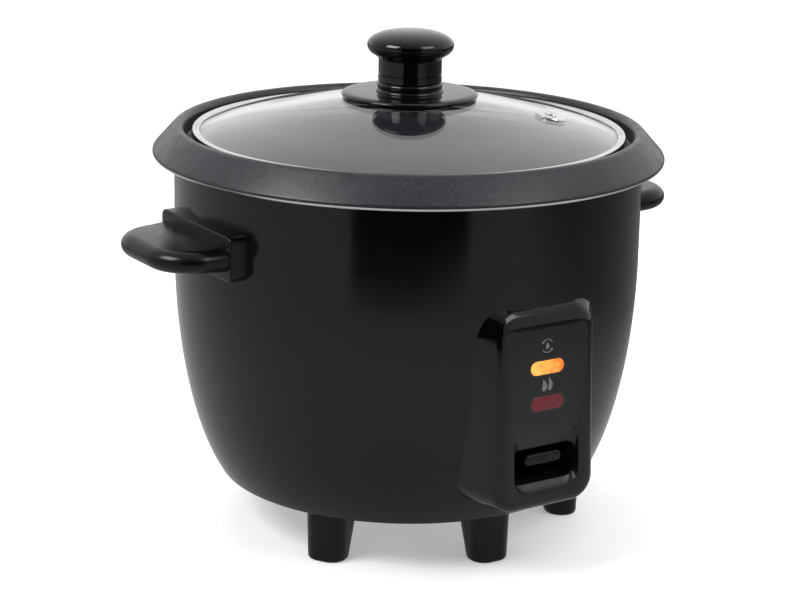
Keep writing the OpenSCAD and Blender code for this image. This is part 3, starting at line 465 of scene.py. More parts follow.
@dataclass(frozen=True)
class SpunMetal(Finish):
    """Metal with the faint rings that spinning or rolling leaves, level with the floor."""

    rings: float = 9000.0
    ring_depth: float = 0.0000015
    stretch: Tone = (0.02, 0.02, 1)

    def build(self) -> Graph:
        """Adds rings: noise that is long along X and Y and short along Z."""
        g = super().build()
        g.bump(g.noise(self.rings, 2, self.stretch), self.ring_depth)
        return g


@dataclass(frozen=True)
class ClearGlass(Finish):
    """Clear glass that lets light through to what is under it."""

    shadow_tone: Tone = (0.9, 0.92, 0.92)

    def build(self) -> Graph:
        """Adds transmission, and a clear path for shadow rays."""
        g = super().build()
        g.shader.inputs["Transmission Weight"].default_value = 1.0
        clear = g.add("ShaderNodeBsdfTransparent", {"Color": (*self.shadow_tone, 1)})
        g.surface(g.mix(g.ray("Is Shadow Ray"), g.shader, clear))
        return g


@dataclass(frozen=True)
class GlowingLens(Finish):
    """A translucent lens, its glow painted for a lamp behind it: bright at one end, deeper at the
    other.
    """

    near: Tone = (1.0, 0.56, 0.11)
    far: Tone = (0.80, 0.13, 0.01)
    power: float = 1.0
    reach: float = 8.0
    mottle: float = 520.0
    mottle_share: float = 0.32

    def build(self) -> Graph:
        """Adds painted glow from near to far along X, uneven as the lamp's own shape is."""
        g = super().build()
        x = g.add("ShaderNodeSeparateXYZ", {0: g.place}).outputs[0]
        along = g.spread(x, 0, 1, -self.reach * MM, self.reach * MM)
        uneven = g.spread(g.noise(self.mottle), -self.mottle_share, self.mottle_share)
        # Painted glow: emission on the lens stands in for the light of the lamp behind it
        glow = g.blend(g.calc("ADD", along, uneven), self.near, self.far)
        g.link(glow, g.shader.inputs["Emission Color"])
        g.shader.inputs["Emission Strength"].default_value = self.power
        return g


PAINT = Finish("shell_paint", (0.0016, 0.0017, 0.0018), 0.14, ior=1.42, roughness_spread=0.02,
               grain=900, grain_depth=0.000002)
SATIN_BLACK = Finish("satin_moulding", (0.0032, 0.0032, 0.0036), 0.22, ior=1.34,
                     roughness_spread=0.04, grain_depth=0.000003)
FACE_BLACK = Finish("panel_moulding", (0.0045, 0.0045, 0.0047), 0.33, roughness_spread=0.03,
                    grain=3200)
GLOSS_SIDE = Finish("polished_moulding", (0.0015, 0.0015, 0.0017), 0.08, roughness_spread=0.02,
                    grain=700, grain_depth=0.000001)
GLOSS_BLACK = Finish("gloss_moulding", (0.002, 0.002, 0.0023), 0.05, roughness_spread=0.015,
                     grain=700, grain_depth=0.000001)
COATED = SpeckledCoat("non_stick_coat", (0.012, 0.012, 0.016), 0.34)
BARE_ALU = SpunMetal("bare_aluminium", (0.66, 0.65, 0.63), 0.32, metallic=1.0)
CAST_ALU = SpunMetal("cast_aluminium", (0.60, 0.60, 0.61), 0.42, metallic=1.0,
                     grain_depth=0.00002)
POLISHED = SpunMetal("polished_steel", (0.70, 0.70, 0.71), 0.13, metallic=1.0,
                     roughness_spread=0.04)
ROLLED = SpunMetal("rolled_steel", (0.50, 0.51, 0.52), 0.38, metallic=1.0, tone_spread=0.25)
WIRE = Finish("spring_wire", (0.55, 0.55, 0.56), 0.3, metallic=1.0)
BRASS = Finish("brass_pin", (0.72, 0.56, 0.28), 0.3, metallic=1.0)
COPPER = Finish("copper_blade", (0.66, 0.34, 0.20), 0.35, metallic=1.0)
MAGNET = Finish("sintered_magnet", (0.06, 0.06, 0.065), 0.6, metallic=0.6, grain_depth=0.00003)
PHENOLIC = Finish("phenolic_board", (0.10, 0.045, 0.02), 0.55, grain_depth=0.00002)
CERAMIC = Finish("fired_ceramic", (0.72, 0.69, 0.62), 0.6, grain_depth=0.00002)
RUBBER = Finish("silicone_rubber", (0.02, 0.02, 0.021), 0.7, grain_depth=0.00001)
PRINT = Finish("pad_print", (0.13, 0.135, 0.14), 0.5, grain_depth=0.000004)
GLASS = ClearGlass("lid_glass", (0.93, 0.95, 0.95), 0.012, tone_spread=0.01,
                   roughness_spread=0.008, ior=1.5, grain=60, grain_depth=0.000002)
# Both lenses carry painted glow for the lamps behind them; the red one's is dimmer
AMBER = GlowingLens("amber_lens", (0.30, 0.09, 0.01), 0.25)
WINE = GlowingLens("red_lens", (0.10, 0.008, 0.012), 0.28, near=(0.06, 0.005, 0.009),
                   far=(0.05, 0.004, 0.008), power=0.45)


class Body(Enum):
    """The bodies that pieces ride on."""

    COOKER = "cooker"
    POT = "pot"
    LID = "lid"
    LEVER = "lever"
    THERMOSTAT = "thermostat"


def dress(piece: bpy.types.Object, finish: Finish, body: Body, *nodes: str,
          slot: str | None = None) -> None:
    """Gives a piece its finish, puts it on its body and hides the frame nodes that it stands for.

    Args:
        piece: the object.
        finish: its finish.
        body: the body that it rides on.
        nodes: frame nodes that it replaces.
        slot: not used.
    """
    piece.data.materials.clear()
    piece.data.materials.append(finish.material())
    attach(piece, body.value)
    if nodes:
        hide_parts(*nodes)
    LOG.info("%s: %d faces, rides on %s", piece.name, len(piece.data.polygons), body.value)


# ---- sub-assemblies ----


@dataclass(frozen=True)
class Opening:
    """An opening in the shell: its angle from +X in radians, and the shell's radius there."""

    angle: float
    half_w: float
    at_r: float
    low: float
    high: float

    @property
    def half_angle(self) -> float:
        """Half the angle that it takes up, in radians."""
        return math.asin(self.half_w / self.at_r)


@dataclass
class Drum:
    """The painted shell with its openings, and the rolled bead on its top edge."""

    widest: float = 93.6
    foot: float = 75.1
    top: float = 93.4
    foot_z: float = 20.2
    belly_z: float = 110.0
    top_z: float = 152.0
    sweep: float = 64.0
    wall: float = 1.0
    hem: float = 5.0
    hem_round: float = 1.3
    side_z: float = 22.2
    rows: int = 62
    columns: int = 180
    bead: float = 1.3
    bead_turn: float = 345.0
    openings: tuple[Opening, ...] = (Opening(1.5 * math.pi, 7.0, 89.0, 41.2, 53.8),
                                     Opening(0.5 * math.pi, 12.1, 85.0, 31.9, 48.1))

    def radius(self, z: np.ndarray) -> np.ndarray:
        """Radius at a height: an ellipse below the belly and a slight taper above it.

        Args:
            z: heights.

        Returns:
            R - b (1 - sqrt(1 - ((zb - z) / d)^2)) below zb, and a straight line to the top above.
        """
        z = np.asarray(z, float)
        a = math.radians(self.sweep)
        inward = (self.widest - self.foot) / (1 - math.cos(a))
        down = (self.belly_z - self.foot_z) / math.sin(a)
        fall = np.minimum((self.belly_z - z) / down, 0.999)
        below = self.widest - inward * (1 - np.sqrt(1 - fall ** 2))
        rise = (z - self.belly_z) / (self.top_z - self.belly_z)
        return np.where(z > self.belly_z, self.widest + (self.top - self.widest) * rise, below)

    def profile(self) -> np.ndarray:
        """The shell's outer line: the hem under it, a rounding, and the side.

        Returns:
            Points (r, z) from the hem's inner edge to the top.
        """
        heights = [[o.low, o.high] for o in self.openings]
        z = np.unique(np.concatenate([np.linspace(self.side_z, self.top_z, self.rows), *heights]))
        side = np.stack([self.radius(z), z], axis=1)
        hem = [self.foot - self.hem, self.foot_z]
        far_inside = [60, 40]
        steps = 6
        turn = softened([hem, [self.foot + 0.1, self.foot_z], side[0], far_inside],
                        [0, self.hem_round, 0, 0], steps)
        return chain(hem, turn[1:steps + 2], side[1:])

    def build(self) -> None:
        """Makes the shell with its openings at the front and back, and the bead."""
        profile = self.profile()
        along = np.gradient(profile, axis=0)
        normal = np.stack([along[:, 1], -along[:, 0]], axis=1)
        normal /= np.linalg.norm(along, axis=1)[:, None]
        edges = [[o.angle - o.half_angle, o.angle + o.half_angle] for o in self.openings]
        t = np.sort(np.concatenate([full_turn(self.columns), *edges]))
        mid_t = 0.5 * (t + np.append(t[1:], t[0] + 2 * np.pi))
        mid_z = 0.5 * (profile[1:, 1] + profile[:-1, 1])
        sheet = np.ones((len(mid_z), len(mid_t)), bool)
        for o in self.openings:
            rows = (mid_z > o.low) & (mid_z < o.high)
            columns = np.abs(mid_t - o.angle) < o.half_angle
            sheet &= ~(rows[:, None] & columns[None])
        skins = [revolved(p, t) for p in (profile, profile - self.wall * normal)]
        shell = walled("drum_shell", *skins, sheet)
        dress(shell, PAINT, Body.COOKER, "outer_body", slot="shell_paint")
        bead = turned("shell_bead", arc((self.top - self.bead, self.top_z), self.bead, 0,
                                        self.bead_turn, 23))
        dress(bead, PAINT, Body.COOKER, slot="shell_paint")


@dataclass
class Liner:
    """The aluminium bowl in the drum, whose flange reaches the shell under its bead."""

    sheet: float = 0.7
    top: float = 149.3
    radius: float = 84.5
    floor: float = 56.0
    hole: float = 55.5
    flange: float = 92.2

    def build(self) -> None:
        """Makes the floor with its wide hole, the wall and the flange."""
        t, top, r, floor = self.sheet, self.top, self.radius, self.floor
        outline = softened(
            [[self.hole, floor], [r, floor], [r, top - t], [self.flange, top - t],
             [self.flange, top], [r - t, top], [r - t, floor + t], [self.hole, floor + t]],
            [0, 2, 0.4, 0, 0, 1.1, 1.4, 0], 5)
        dress(turned("liner_bowl", outline), ROLLED, Body.COOKER, "inner_liner", slot="galvanised")


@dataclass
class Pot:
    """The lift-out pot: one sheet from its floor to the turned-down flange, its edge bare."""

    wall: float = 1.5
    floor_z: float = 70.3
    mid_r: float = 80.65
    draw: float = 2.4
    corner: float = 12.0
    ledge_z: float = 154.0
    ledge_round: float = 2.5
    riser_round: float = 2.0
    crest: tuple[float, float] = (92.2, 161.5)
    crest_round: float = 2.6
    lip: tuple[float, float] = (100.4, 151.33)
    lip_round: float = 1.6
    lip_end: float = -50.0
    bare_start: float = -14.0
    bare_past: float = 6.0
    steps: int = 240

    @property
    def slope(self) -> float:
        """Angle of the flange's normal: square to the common tangent of the crest and the lip.

        The tangent leans from the line between their centres by asin((r1 - r2) / distance).
        """
        across = self.lip[0] - self.crest[0]
        down = self.crest[1] - self.crest_round - self.lip[1]
        lean = math.asin((self.crest_round - self.lip_round) / math.hypot(across, down))
        return 90 - math.degrees(math.atan2(down, across) + lean)

    def side(self, s: float) -> np.ndarray:
        """One face of the sheet as a chain of arcs.

        Args:
            s: 1 for the inner and upper face, -1 for the outer and lower one.

        Returns:
            Points (r, z) from the axis to the flange's edge.
        """
        h = self.wall / 2
        ledge = self.ledge_z - h
        riser = self.crest[0] - self.crest_round + h
        foot = (self.mid_r - self.draw - self.corner, self.floor_z + h + self.corner)
        out, up = self.ledge_round, self.riser_round
        crest = (self.crest[0], self.crest[1] - self.crest_round)
        return chain(
            [[r, self.floor_z + h + s * h] for r in (0, 30, 60)],
            arc(foot, self.corner - s * h, -90, -2, 16),
            arc((self.mid_r + out, ledge - out), out + s * h, 178, 90),
            arc((riser - up, ledge + up), up - s * h, -90, 0),
            arc(crest, self.crest_round - h + s * h, 180, self.slope, 16),
            arc(self.lip, self.lip_round - h + s * h, self.slope, self.lip_end, 16),
        )

    def build(self) -> None:
        """Makes the pot and the line of bare metal that is turned on the lip's lower side."""
        outline = chain(self.side(1), self.side(-1)[::-1])
        sheet = turned("pot_sheet", outline, self.steps)
        dress(sheet, COATED, Body.POT, "inner_pot", slot="coated_aluminium")
        end, proud, core = self.lip_end - self.bare_past, 0.05, 0.5
        bare = chain(arc(self.lip, self.lip_round + proud, self.bare_start, end),
                     arc(self.lip, core, end, self.bare_start, 4))
        edge = turned("pot_cut_edge", bare, self.steps)
        dress(edge, BARE_ALU, Body.POT, slot="cast_aluminium")


@dataclass
class Lid:
    """The glass dome in its folded steel band, and the steam vent's eyelet."""

    rim_r: float = 86.4
    rim_z: float = 154.3
    rim_h: float = 5.6
    fold: float = 1.2
    top_z: float = 172.6
    thick: float = 3.6
    vent_r: float = 56.2
    vent_angle: float = 51.0
    vent_steps: int = 64
    lift: float = 2.2
    lift_r: float = 60.0
    steps: int = 200

    @property
    def edge(self) -> tuple[float, float]:
        """Where the glass's top face meets the band."""
        return self.rim_r - self.fold, self.rim_z + self.rim_h - self.fold

    @property
    def curve(self) -> float:
        """Radius of the dome: (a^2 + h^2) / 2h for a cap of half width a and rise h."""
        a, h = self.edge[0], self.top_z - self.edge[1]
        return (a * a + h * h) / (2 * h)

    def dome(self, sink: float) -> np.ndarray:
        """A face of the glass: a circle on the axis, raised inside r0 by l (1 - (r / r0)^2)^2.

        Args:
            sink: how far under the top face it lies.

        Returns:
            Points (r, z) from the axis to the band.
        """
        end = math.degrees(math.asin(self.edge[0] / self.curve))
        face = arc((0, self.top_z - self.curve), self.curve - sink, 90, 90 - end, 60)
        face[:, 1] += self.lift * np.clip(1 - (face[:, 0] / self.lift_r) ** 2, 0, 1) ** 2
        return face

    def build(self) -> None:
        """Makes the glass, the band with its fold line, and the eyelet."""
        glass = turned("dome_glass", chain(self.dome(0), self.dome(self.thick)[::-1]), self.steps)
        dress(glass, GLASS, Body.LID, "lid_glass", slot="lid_glass")
        outline = [[-3, 0], [0, 0], [0, self.rim_h], [-1.5, self.rim_h], [-1.75, self.rim_h - 0.45],
                   [-2.1, self.rim_h - 0.25], [-3, self.rim_h - 0.6]]
        outline = softened(outline, [0.8, 1, 1.1, 0.15, 0.1, 0.15, 0.3], 5)
        band = turned("rim_band", outline + [self.rim_r, self.rim_z], self.steps, 50)
        dress(band, POLISHED, Body.LID, "lid_rim", slot="polished_steel")
        self.build_vent()

    def build_vent(self) -> None:
        """Makes the eyelet: a turned ring set square to the glass at the vent."""
        under = -self.thick
        ring = softened([[2.5, under - 0.9], [4.6, under - 0.9], [5.2, under - 0.25],
                         [3.6, under - 0.1], [3.6, 0.15], [6.4, 0.15], [5.8, 0.75], [3.6, 0.95],
                         [2.5, 0.7]], [0.2, 0.3, 0.1, 0, 0, 0.12, 0.25, 0.4, 0.5])
        grid = revolved(ring, full_turn(self.vent_steps))
        tilt = math.asin(self.vent_r / self.curve)
        c, s = math.cos(tilt), math.sin(tilt)
        leant = grid @ np.array([[1, 0, 0], [0, c, s], [0, -s, c]])
        height = self.top_z - self.curve + math.sqrt(self.curve ** 2 - self.vent_r ** 2)
        placed = facing(leant + np.array([0, -self.vent_r, height]), self.vent_angle)
        eyelet = settle("vent_ring", placed, grid_faces(len(ring), self.vent_steps, True))
        dress(eyelet, POLISHED, Body.LID, "vent_eyelet", slot="polished_steel")


@dataclass
class Knob:
    """The knob, the disc under it, and the washer under the glass."""

    top_z: float = 199.3
    cap_r: float = 17.2
    cap_h: float = 5.8
    cap_edge: float = 4.0
    stem_r: float = 12.6
    disc_r: float = 27.2
    disc_z: float = 172.7
    disc_t: float = 2.3
    disc_roll: float = 3.4
    washer_r: float = 14.7
    washer_z: float = 170.6
    washer_h: float = 3.3
    washer_steps: int = 128
    screw_r: float = 2.3
    sunk_r: float = 4.6

    def turning(self) -> np.ndarray:
        """The knob's profile: two rolls at the stem's foot, a waist, and the cap's ellipses.

        Returns:
            Points (r, z) from the axis to the axis.
        """
        foot = self.disc_z + self.disc_t
        mid = self.top_z - self.cap_h
        r = self.stem_r
        under = np.radians(np.arange(-70, -13, 8))
        over = np.radians(np.arange(0, 85, 6))
        return chain(
            [[0, foot - 0.2], [r + 1.0, foot - 0.2]],
            arc((r + 0.1, foot + 0.1), 0.9, 0, 75, 6),
            [[r + 0.3, foot + 1.2], [r + 0.45, foot + 2.2]],
            arc((r - 0.75, foot + 2.6), 1.3, -10, 76, 10),
            [[r + 0.05, foot + 4.1], [r + 0.1, foot + 6.6], [r - 0.3, foot + 6.8],
             [r - 0.3, foot + 7.1], [r, foot + 7.35], [r, mid - 6]],
            arc((r + 1.2, mid - 5.8), 1.2, 180, 110, 6),
            np.stack([self.cap_r - self.cap_edge * (1 - np.cos(under)),
                      mid + self.cap_edge * np.sin(under)], axis=1),
            np.stack([self.cap_r * np.cos(over) ** 0.8, mid + self.cap_h * np.sin(over)], axis=1),
            [[0, self.top_z]],
        )

    def skirt(self) -> np.ndarray:
        """The disc's profile: flat on top, its edge part of an ellipse.

        Returns:
            Points (r, z) from the axis to the axis.
        """
        z, r, t = self.disc_z, self.disc_r, self.disc_t
        roll = np.radians(np.arange(85, -46, -10))
        edge = np.stack([r - self.disc_roll * (1 - np.cos(roll)),
                         z + 1.0 + (t - 1.0) * np.sin(roll)], axis=1)
        return chain([[0, z + t], [14, z + t]], edge, [[r - 2.2, z], [14, z + 1.5], [0, z + 1.6]])

    def washer(self) -> np.ndarray:
        """The washer's closed profile (r, z), hollow next to the screw."""
        low, high = self.washer_z - self.washer_h, self.washer_z
        return softened([[self.screw_r, low + 1], [self.sunk_r, low + 1], [self.sunk_r, low],
                         [self.washer_r, low], [self.washer_r, high], [self.screw_r, high]],
                        [0, 0, 0.4, 2.4, 0.4, 0], 8)

    def build(self) -> None:
        """Makes each turned piece of the knob."""
        for piece, node, slot in (
            (turned("knob_turning", self.turning(), crease=40), "knob", "gloss_plastic"),
            (turned("knob_skirt", self.skirt(), crease=30), "knob_disc", "gloss_plastic"),
            (turned("under_washer", self.washer(), self.washer_steps), "knob_washer",
             "satin_plastic"),
        ):
            dress(piece, GLOSS_BLACK, Body.LID, node, slot=slot)


@dataclass
class Handle:
    """A side handle: a plate on two bosses, and a flat grip with a full round edge."""

    name: str
    angle: float
    drum: Drum
    reach: float = 121.5
    root: float = 27.2
    tip: float = 27.0
    corner: float = 18.5
    root_t: float = 5.2
    tip_t: float = 4.4
    z: float = 123.1
    plate_half_w: float = 28.0
    plate_half_h: float = 8.8
    plate_y: float = 96.4
    plate_corner: float = 3.0
    plate_edge: float = 0.7
    plate_up: float = 0.3
    boss_x: float = 15.0
    boss_r: float = 7.6
    boss_up: float = 0.6
    boss_steps: int = 48

    def on_shell(self, outline: np.ndarray, sink: float = 0.6) -> np.ndarray:
        """Drops an outline (x, z) straight back on to the shell: y = -sqrt(R(z)^2 - x^2) + sink."""
        r = self.drum.radius(outline[:, 1])
        return upright(outline, sink - np.sqrt(r ** 2 - outline[:, 0] ** 2))

    def plate(self) -> np.ndarray:
        """Loops of the rounded plate, from the shell out to its face, its front edge rounded.

        Returns:
            An array of loops.
        """
        half_w, half_h, middle = self.plate_half_w, self.plate_half_h, [0, self.z + self.plate_up]
        rows = [self.on_shell(rounded_rect(half_w, half_h, self.plate_corner) + middle)]
        for inset, depth in zip(*quarter(self.plate_edge)):
            corner = max(self.plate_corner - inset, 0.2)
            flat = rounded_rect(half_w - inset, half_h - inset, corner) + middle
            rows.append(upright(flat, depth - self.plate_y))
        return np.array(rows)

    def plan(self, inset: float, start: float) -> np.ndarray:
        """Outline of the grip from above: straight sides and a round end, drawn in by an inset.

        Args:
            inset: how far in from the full outline.
            start: distance of its root from the axis.

        Returns:
            Points (x, y) from the root's right end round the tip to its left end, and back along
            the root.
        """
        r = max(self.corner - inset, 0.5)
        x, y = self.tip - self.corner, self.reach - self.corner
        side = np.linspace(0, 1, 9)[:-1, None]
        right = np.array([[self.root - inset, start]])
        right = right + side * [[x + r - self.root + inset, y - start]]
        round_end = chain(arc((x, y), r, 0, 90, 20), arc((-x, y), r, 90, 180, 20))
        left = (right * [[-1, 1]])[::-1]
        root = np.linspace(1, -1, 13)[1:-1, None] * [[inset - self.root, 0]] + [[0, start]]
        return np.concatenate([right, round_end, left, root])

    def grip(self) -> np.ndarray:
        """Loops of the grip from the middle of its hollow underside to its top face.

        The edge is a half round: at angle b the outline is drawn in by h (1 - cos b) and lies
        h sin b above the middle, where the half thickness h falls from the root to the tip.

        Returns:
            An array of loops.
        """
        start = self.plate_y - 1.5
        # How far each loop is drawn in, its height in half thicknesses, and where it starts
        rows = [(9.6, -0.1, start + 3.5), (8.6, -0.2, start + 3.0), (8.0, -0.92, start + 2.5),
                (7.5, -1.0, start + 2.0)]
        rows += [(self.root_t * (1 - math.cos(b)), math.sin(b), start)
                 for b in np.radians(np.linspace(-90, 90, 19))]
        loops = []
        for inset, lift, root in rows:
            flat = self.plan(inset, root)
            along = np.clip((flat[:, 1] - start) / (self.reach - self.corner - start), 0, 1)
            h = self.root_t + (self.tip_t - self.root_t) * along
            loops.append(level(flat * [1, -1], self.z + lift * h))
        return np.array(loops)

    def boss(self, x: float) -> np.ndarray:
        """Loops of a round screw boss, from the shell to just behind the plate's face.

        Args:
            x: distance of its middle from the handle's middle.

        Returns:
            An array of loops.
        """
        def ring(shrink: float) -> np.ndarray:
            """The boss's outline, made smaller by an amount."""
            middle = (x, self.z + self.boss_up)
            return arc(middle, self.boss_r - shrink, 0, 360, self.boss_steps)[:-1]

        front = ((0.0, 1.3), (0.2, 0.95), (0.6, 0.8))
        return np.array([self.on_shell(ring(0.0))]
                        + [upright(ring(shrink), depth - self.plate_y) for shrink, depth in front])

    def build(self) -> None:
        """Makes the plate, the grip and the bosses, and turns them to the handle's side."""
        parts = {"plate": self.plate(), "grip": self.grip(), "boss_a": self.boss(-self.boss_x),
                 "boss_b": self.boss(self.boss_x)}
        for key, loops in parts.items():
            piece = lofted(f"{self.name}_{key}", facing(loops, self.angle), crease=40)
            nodes = (self.name,) if key == "grip" else ()
            dress(piece, SATIN_BLACK, Body.COOKER, *nodes, slot="satin_plastic")


@dataclass
class ControlHousing:
    """The control housing: a leaning face with round edges, the lever's recess and two lenses."""

    drum: Drum
    half_w: float = 23.4
    low: float = 31.2
    high: float = 110.0
    reach: float = 98.1
    lean: float = 3.0
    edge: float = 4.6
    top_edge: float = 8.4
    corner: float = 10.0
    foot_w: float = 27.6
    foot_lift: float = 0.8
    corner_steps: int = 12
    recess_half_w: float = 14.9
    recess_low: float = 38.6
    recess_high: float = 63.0
    slot_low: float = 42.2
    slot_high: float = 53.8
    lens_half_w: float = 7.75
    lens_half_h: float = 2.8
    warm_z: float = 86.7
    cook_z: float = 72.8
    warm_sign_up: float = 8.2
    cook_sign_up: float = 7.1
    sign_thick: float = 0.02

    @property
    def middle(self) -> float:
        """Height of the face's middle."""
        return 0.5 * (self.low + self.high)

    def place(self, x, depth, height) -> np.ndarray:
        """Puts points given in the leaning face's own frame into the row's frame.

        Args:
            x: across the face.
            depth: inwards from the face.
            height: up from the face's middle.

        Returns:
            An array of points.
        """
        a = math.radians(-self.lean)
        x, depth, height = np.broadcast_arrays(*(np.asarray(v, float) for v in (x, depth, height)))
        y = depth * math.cos(a) - height * math.sin(a) - self.reach
        z = depth * math.sin(a) + height * math.cos(a) + self.middle
        return np.stack([x, y, z], axis=-1)

    def rounded(self, half_w: float, half_h: float, radius: float) -> np.ndarray:
        """A rounded rectangle with as many points as every other loop of the housing."""
        return rounded_rect(half_w, half_h, radius, self.corner_steps, self.corner_steps)

    def to_shell(self, start: np.ndarray, end: np.ndarray, sink: float = 0.4) -> np.ndarray:
        """Cuts straight lines off where they pass into the shell, by halving.

        Args:
            start: points outside the shell.
            end: points inside it.
            sink: how far under the surface to stop.

        Returns:
            The points at the shell.
        """
        low, high = np.zeros(len(start)), np.ones(len(start))
        for _ in range(HALVINGS):
            t = 0.5 * (low + high)
            p = start + (end - start) * t[:, None]
            out = np.hypot(p[:, 0], p[:, 1]) > self.drum.radius(p[:, 2]) - sink
            low, high = np.where(out, t, low), np.where(out, high, t)
        return start + (end - start) * low[:, None]

    def outside(self) -> list[np.ndarray]:
        """Loops of the housing's sides, from its seat on the shell to the rim of its face.

        The sides widen by a share of x down to the seat. From there each loop is drawn in by
        r (1 - cos a) along the outline's own outward direction, where a starts at the side's
        slope and r grows towards the top edge.

        Returns:
            The loops.
        """
        half_h = 0.5 * (self.high - self.low)
        full = self.rounded(self.half_w, half_h, self.corner)
        core = self.rounded(self.half_w - self.corner, half_h - self.corner, 0)
        out = (full - core) / self.corner
        roll = self.edge + (self.top_edge - self.edge) * np.clip(out[:, 1:], 0, 1) ** 1.5
        spread = full[:, 0] * self.foot_w / self.half_w
        height = self.place(full[:, 0], self.edge, full[:, 1])[:, 2]
        height += self.foot_lift * (out[:, 1] > 0.5)
        seat = 0.6 - np.sqrt(self.drum.radius(height) ** 2 - spread ** 2)
        widen = (spread - full[:, 0]) * out[:, 0]
        first = np.degrees(np.arctan2(widen, seat + self.reach - self.edge))
        rows = [np.stack([spread, seat, height], axis=1)]
        for t in np.linspace(0, 1, 15):
            a = np.radians(first + (90 - first) * t)[:, None]
            flat = full - out * roll * (1 - np.cos(a))
            rows.append(self.place(flat[:, 0], self.edge * (1 - np.sin(a[:, 0])), flat[:, 1]))
        return rows

    def inside(self) -> list[np.ndarray]:
        """Loops of the lever's recess: its rim, its walls, two ramps, and the slot to the shell.

        Returns:
            The loops, from the face inwards.
        """
        top, foot, high, low = self.recess_high, self.recess_low, self.slot_high, self.slot_low
        rows = []
        # How much wider than the recess, how deep, from which height to which, corner radius
        for grow, depth, upper, lower, corner in (
            (0.5, 0.0, top + 0.5, foot - 0.5, 6.9), (0.15, 0.12, top + 0.15, foot - 0.15, 6.5),
            (0.0, 0.5, top, foot, 6.4), (0.0, 2.0, high + 2.6, foot + 2.0, 5.0),
            (0.0, 2.6, high + 1.6, foot + 3.0, 4.4), (0.0, 7.4, high + 0.6, low - 0.4, 3.0),
            (0.0, 8.0, high, low, 2.6), (0.0, 9.2, high, low, 2.6),
        ):
            flat = self.rounded(self.recess_half_w + grow, 0.5 * (upper - lower), corner)
            flat += [0, 0.5 * (upper + lower) - self.middle]
            rows.append(self.place(flat[:, 0], depth, flat[:, 1]))
        before, behind = [0, 3, 0], [0, 12, 0]
        rows[-1] = self.to_shell(rows[-1] - before, rows[-1] + behind)
        return rows

    def build(self) -> None:
        """Makes the housing and everything on its face."""
        loops = np.array(self.outside() + self.inside())
        housing = lofted("housing_moulding", loops, ring=True, crease=38)
        dress(housing, FACE_BLACK, Body.COOKER, "control_housing", slot="satin_plastic")
        self.polish(housing)
        self.build_lens("lens_amber", self.warm_z, AMBER, "lens_warm", "amber_lens")
        self.build_lens("lens_wine", self.cook_z, WINE, "lens_cook", "red_lens")
        self.build_pictograms()

    def polish(self, housing: bpy.types.Object) -> None:
        """Gives the housing's sides and round edge a gloss finish, and leaves its face as it is.

        Args:
            housing: the housing's piece, already dressed.
        """
        mesh = housing.data
        mesh.materials.append(GLOSS_SIDE.material())
        middle = np.empty(3 * len(mesh.polygons))
        mesh.polygons.foreach_get("center", middle)
        x, _, z = (middle.reshape(-1, 3) / MM).T
        inner = np.abs(x) < self.half_w - self.edge
        inner &= (z > self.low + self.edge) & (z < self.high - self.top_edge)
        mesh.polygons.foreach_set("material_index", np.where(inner, 0, 1).astype(np.int32))

    def pill(self, z: float, steps: tuple) -> np.ndarray:
        """Loops of a pill shape on the face.

        Args:
            z: height of its middle.
            steps: an inset and a depth for each loop.

        Returns:
            An array of loops.
        """
        rows = []
        for inset, depth in steps:
            half_h = self.lens_half_h - inset
            flat = rounded_rect(self.lens_half_w - inset, half_h, half_h - 0.05, 12, 6)
            rows.append(self.place(flat[:, 0], depth, flat[:, 1] + z - self.middle))
        return np.array(rows)

    def build_lens(self, name: str, z: float, finish: Finish, node: str, slot: str) -> None:
        """Makes a pill-shaped lens with a soft crown, and the dark joint round it.

        Args:
            name: the piece's name.
            z: height of its middle.
            finish: its finish.
            node: the frame node that it replaces.
            slot: a material slot name, passed on to dress.
        """
        crown = self.pill(z, ((0.12, 1.4), (0.12, 0.0), (0.2, -0.1), (0.5, -0.16), (1.2, -0.19),
                              (2.4, -0.2)))
        dress(lofted(name, crown, crease=50), finish, Body.COOKER, node, slot=slot)
        groove = self.pill(z, ((0.2, 0.3), (0.2, -0.03), (-0.5, -0.03), (-0.5, 0.3)))
        joint = lofted(f"{name}_joint", groove, ring=True)
        dress(joint, RUBBER, Body.COOKER, slot="satin_plastic")

    def stamp(self, name: str, left: np.ndarray, right: np.ndarray, z: float) -> None:
        """Makes a flat printed shape between two edges, a hair proud of the face.

        Its faces run across from point to point of the edges, and its wall along them.

        Args:
            name: the piece's name.
            left: points (x, z) of one edge, from the shape's foot to its tip.
            right: as many points of the other edge.
            z: height of the shape's own origin.
        """
        loop = np.concatenate([left, right[::-1]])
        rows = [self.place(loop[:, 0], depth, loop[:, 1] + z - self.middle)
                for depth in (self.sign_thick, -self.sign_thick)]
        n, round_it = len(left), len(loop)
        i, j = np.arange(n - 1), np.arange(round_it)
        after = (j + 1) % round_it
        face = np.stack([i, i + 1, round_it - 2 - i, round_it - 1 - i], axis=1)
        wall = np.stack([j, after, after + round_it, j + round_it], axis=1)
        piece = settle(name, np.array(rows), np.concatenate([face, face + round_it, wall]))
        dress(piece, PRINT, Body.COOKER, slot="satin_plastic")

    def build_pictograms(self) -> None:
        """Prints plain heat signs: a ring of two arrows round a flame, and a pair of flames."""
        t = np.linspace(0, 1, 15)
        warm, cook = self.warm_z + self.warm_sign_up, self.cook_z + self.cook_sign_up
        ring, line, head = 2.5, 0.17, 0.5
        for k, turn in enumerate((28, 208)):
            a = np.radians(turn + 128 * t)
            ray = np.stack([np.cos(a), np.sin(a)], axis=1)
            half = line + head * np.clip((t - 0.82) / 0.05, 0, 1) * np.clip((1 - t) / 0.13, 0, 1)
            edges = (ray * (ring + half)[:, None], ray * (ring - half)[:, None])
            self.stamp(f"sign_warm_{k}", *edges, warm)
        self.stamp("sign_warm_flame", *self.flame(t, 1.5, 2.7, 0.0, -1.3), warm)
        self.stamp("sign_cook_a", *self.flame(t, 2.3, 4.6, -1.4, -2.4), cook)
        self.stamp("sign_cook_b", *self.flame(t, 1.9, 5.1, 1.3, -2.4), cook)

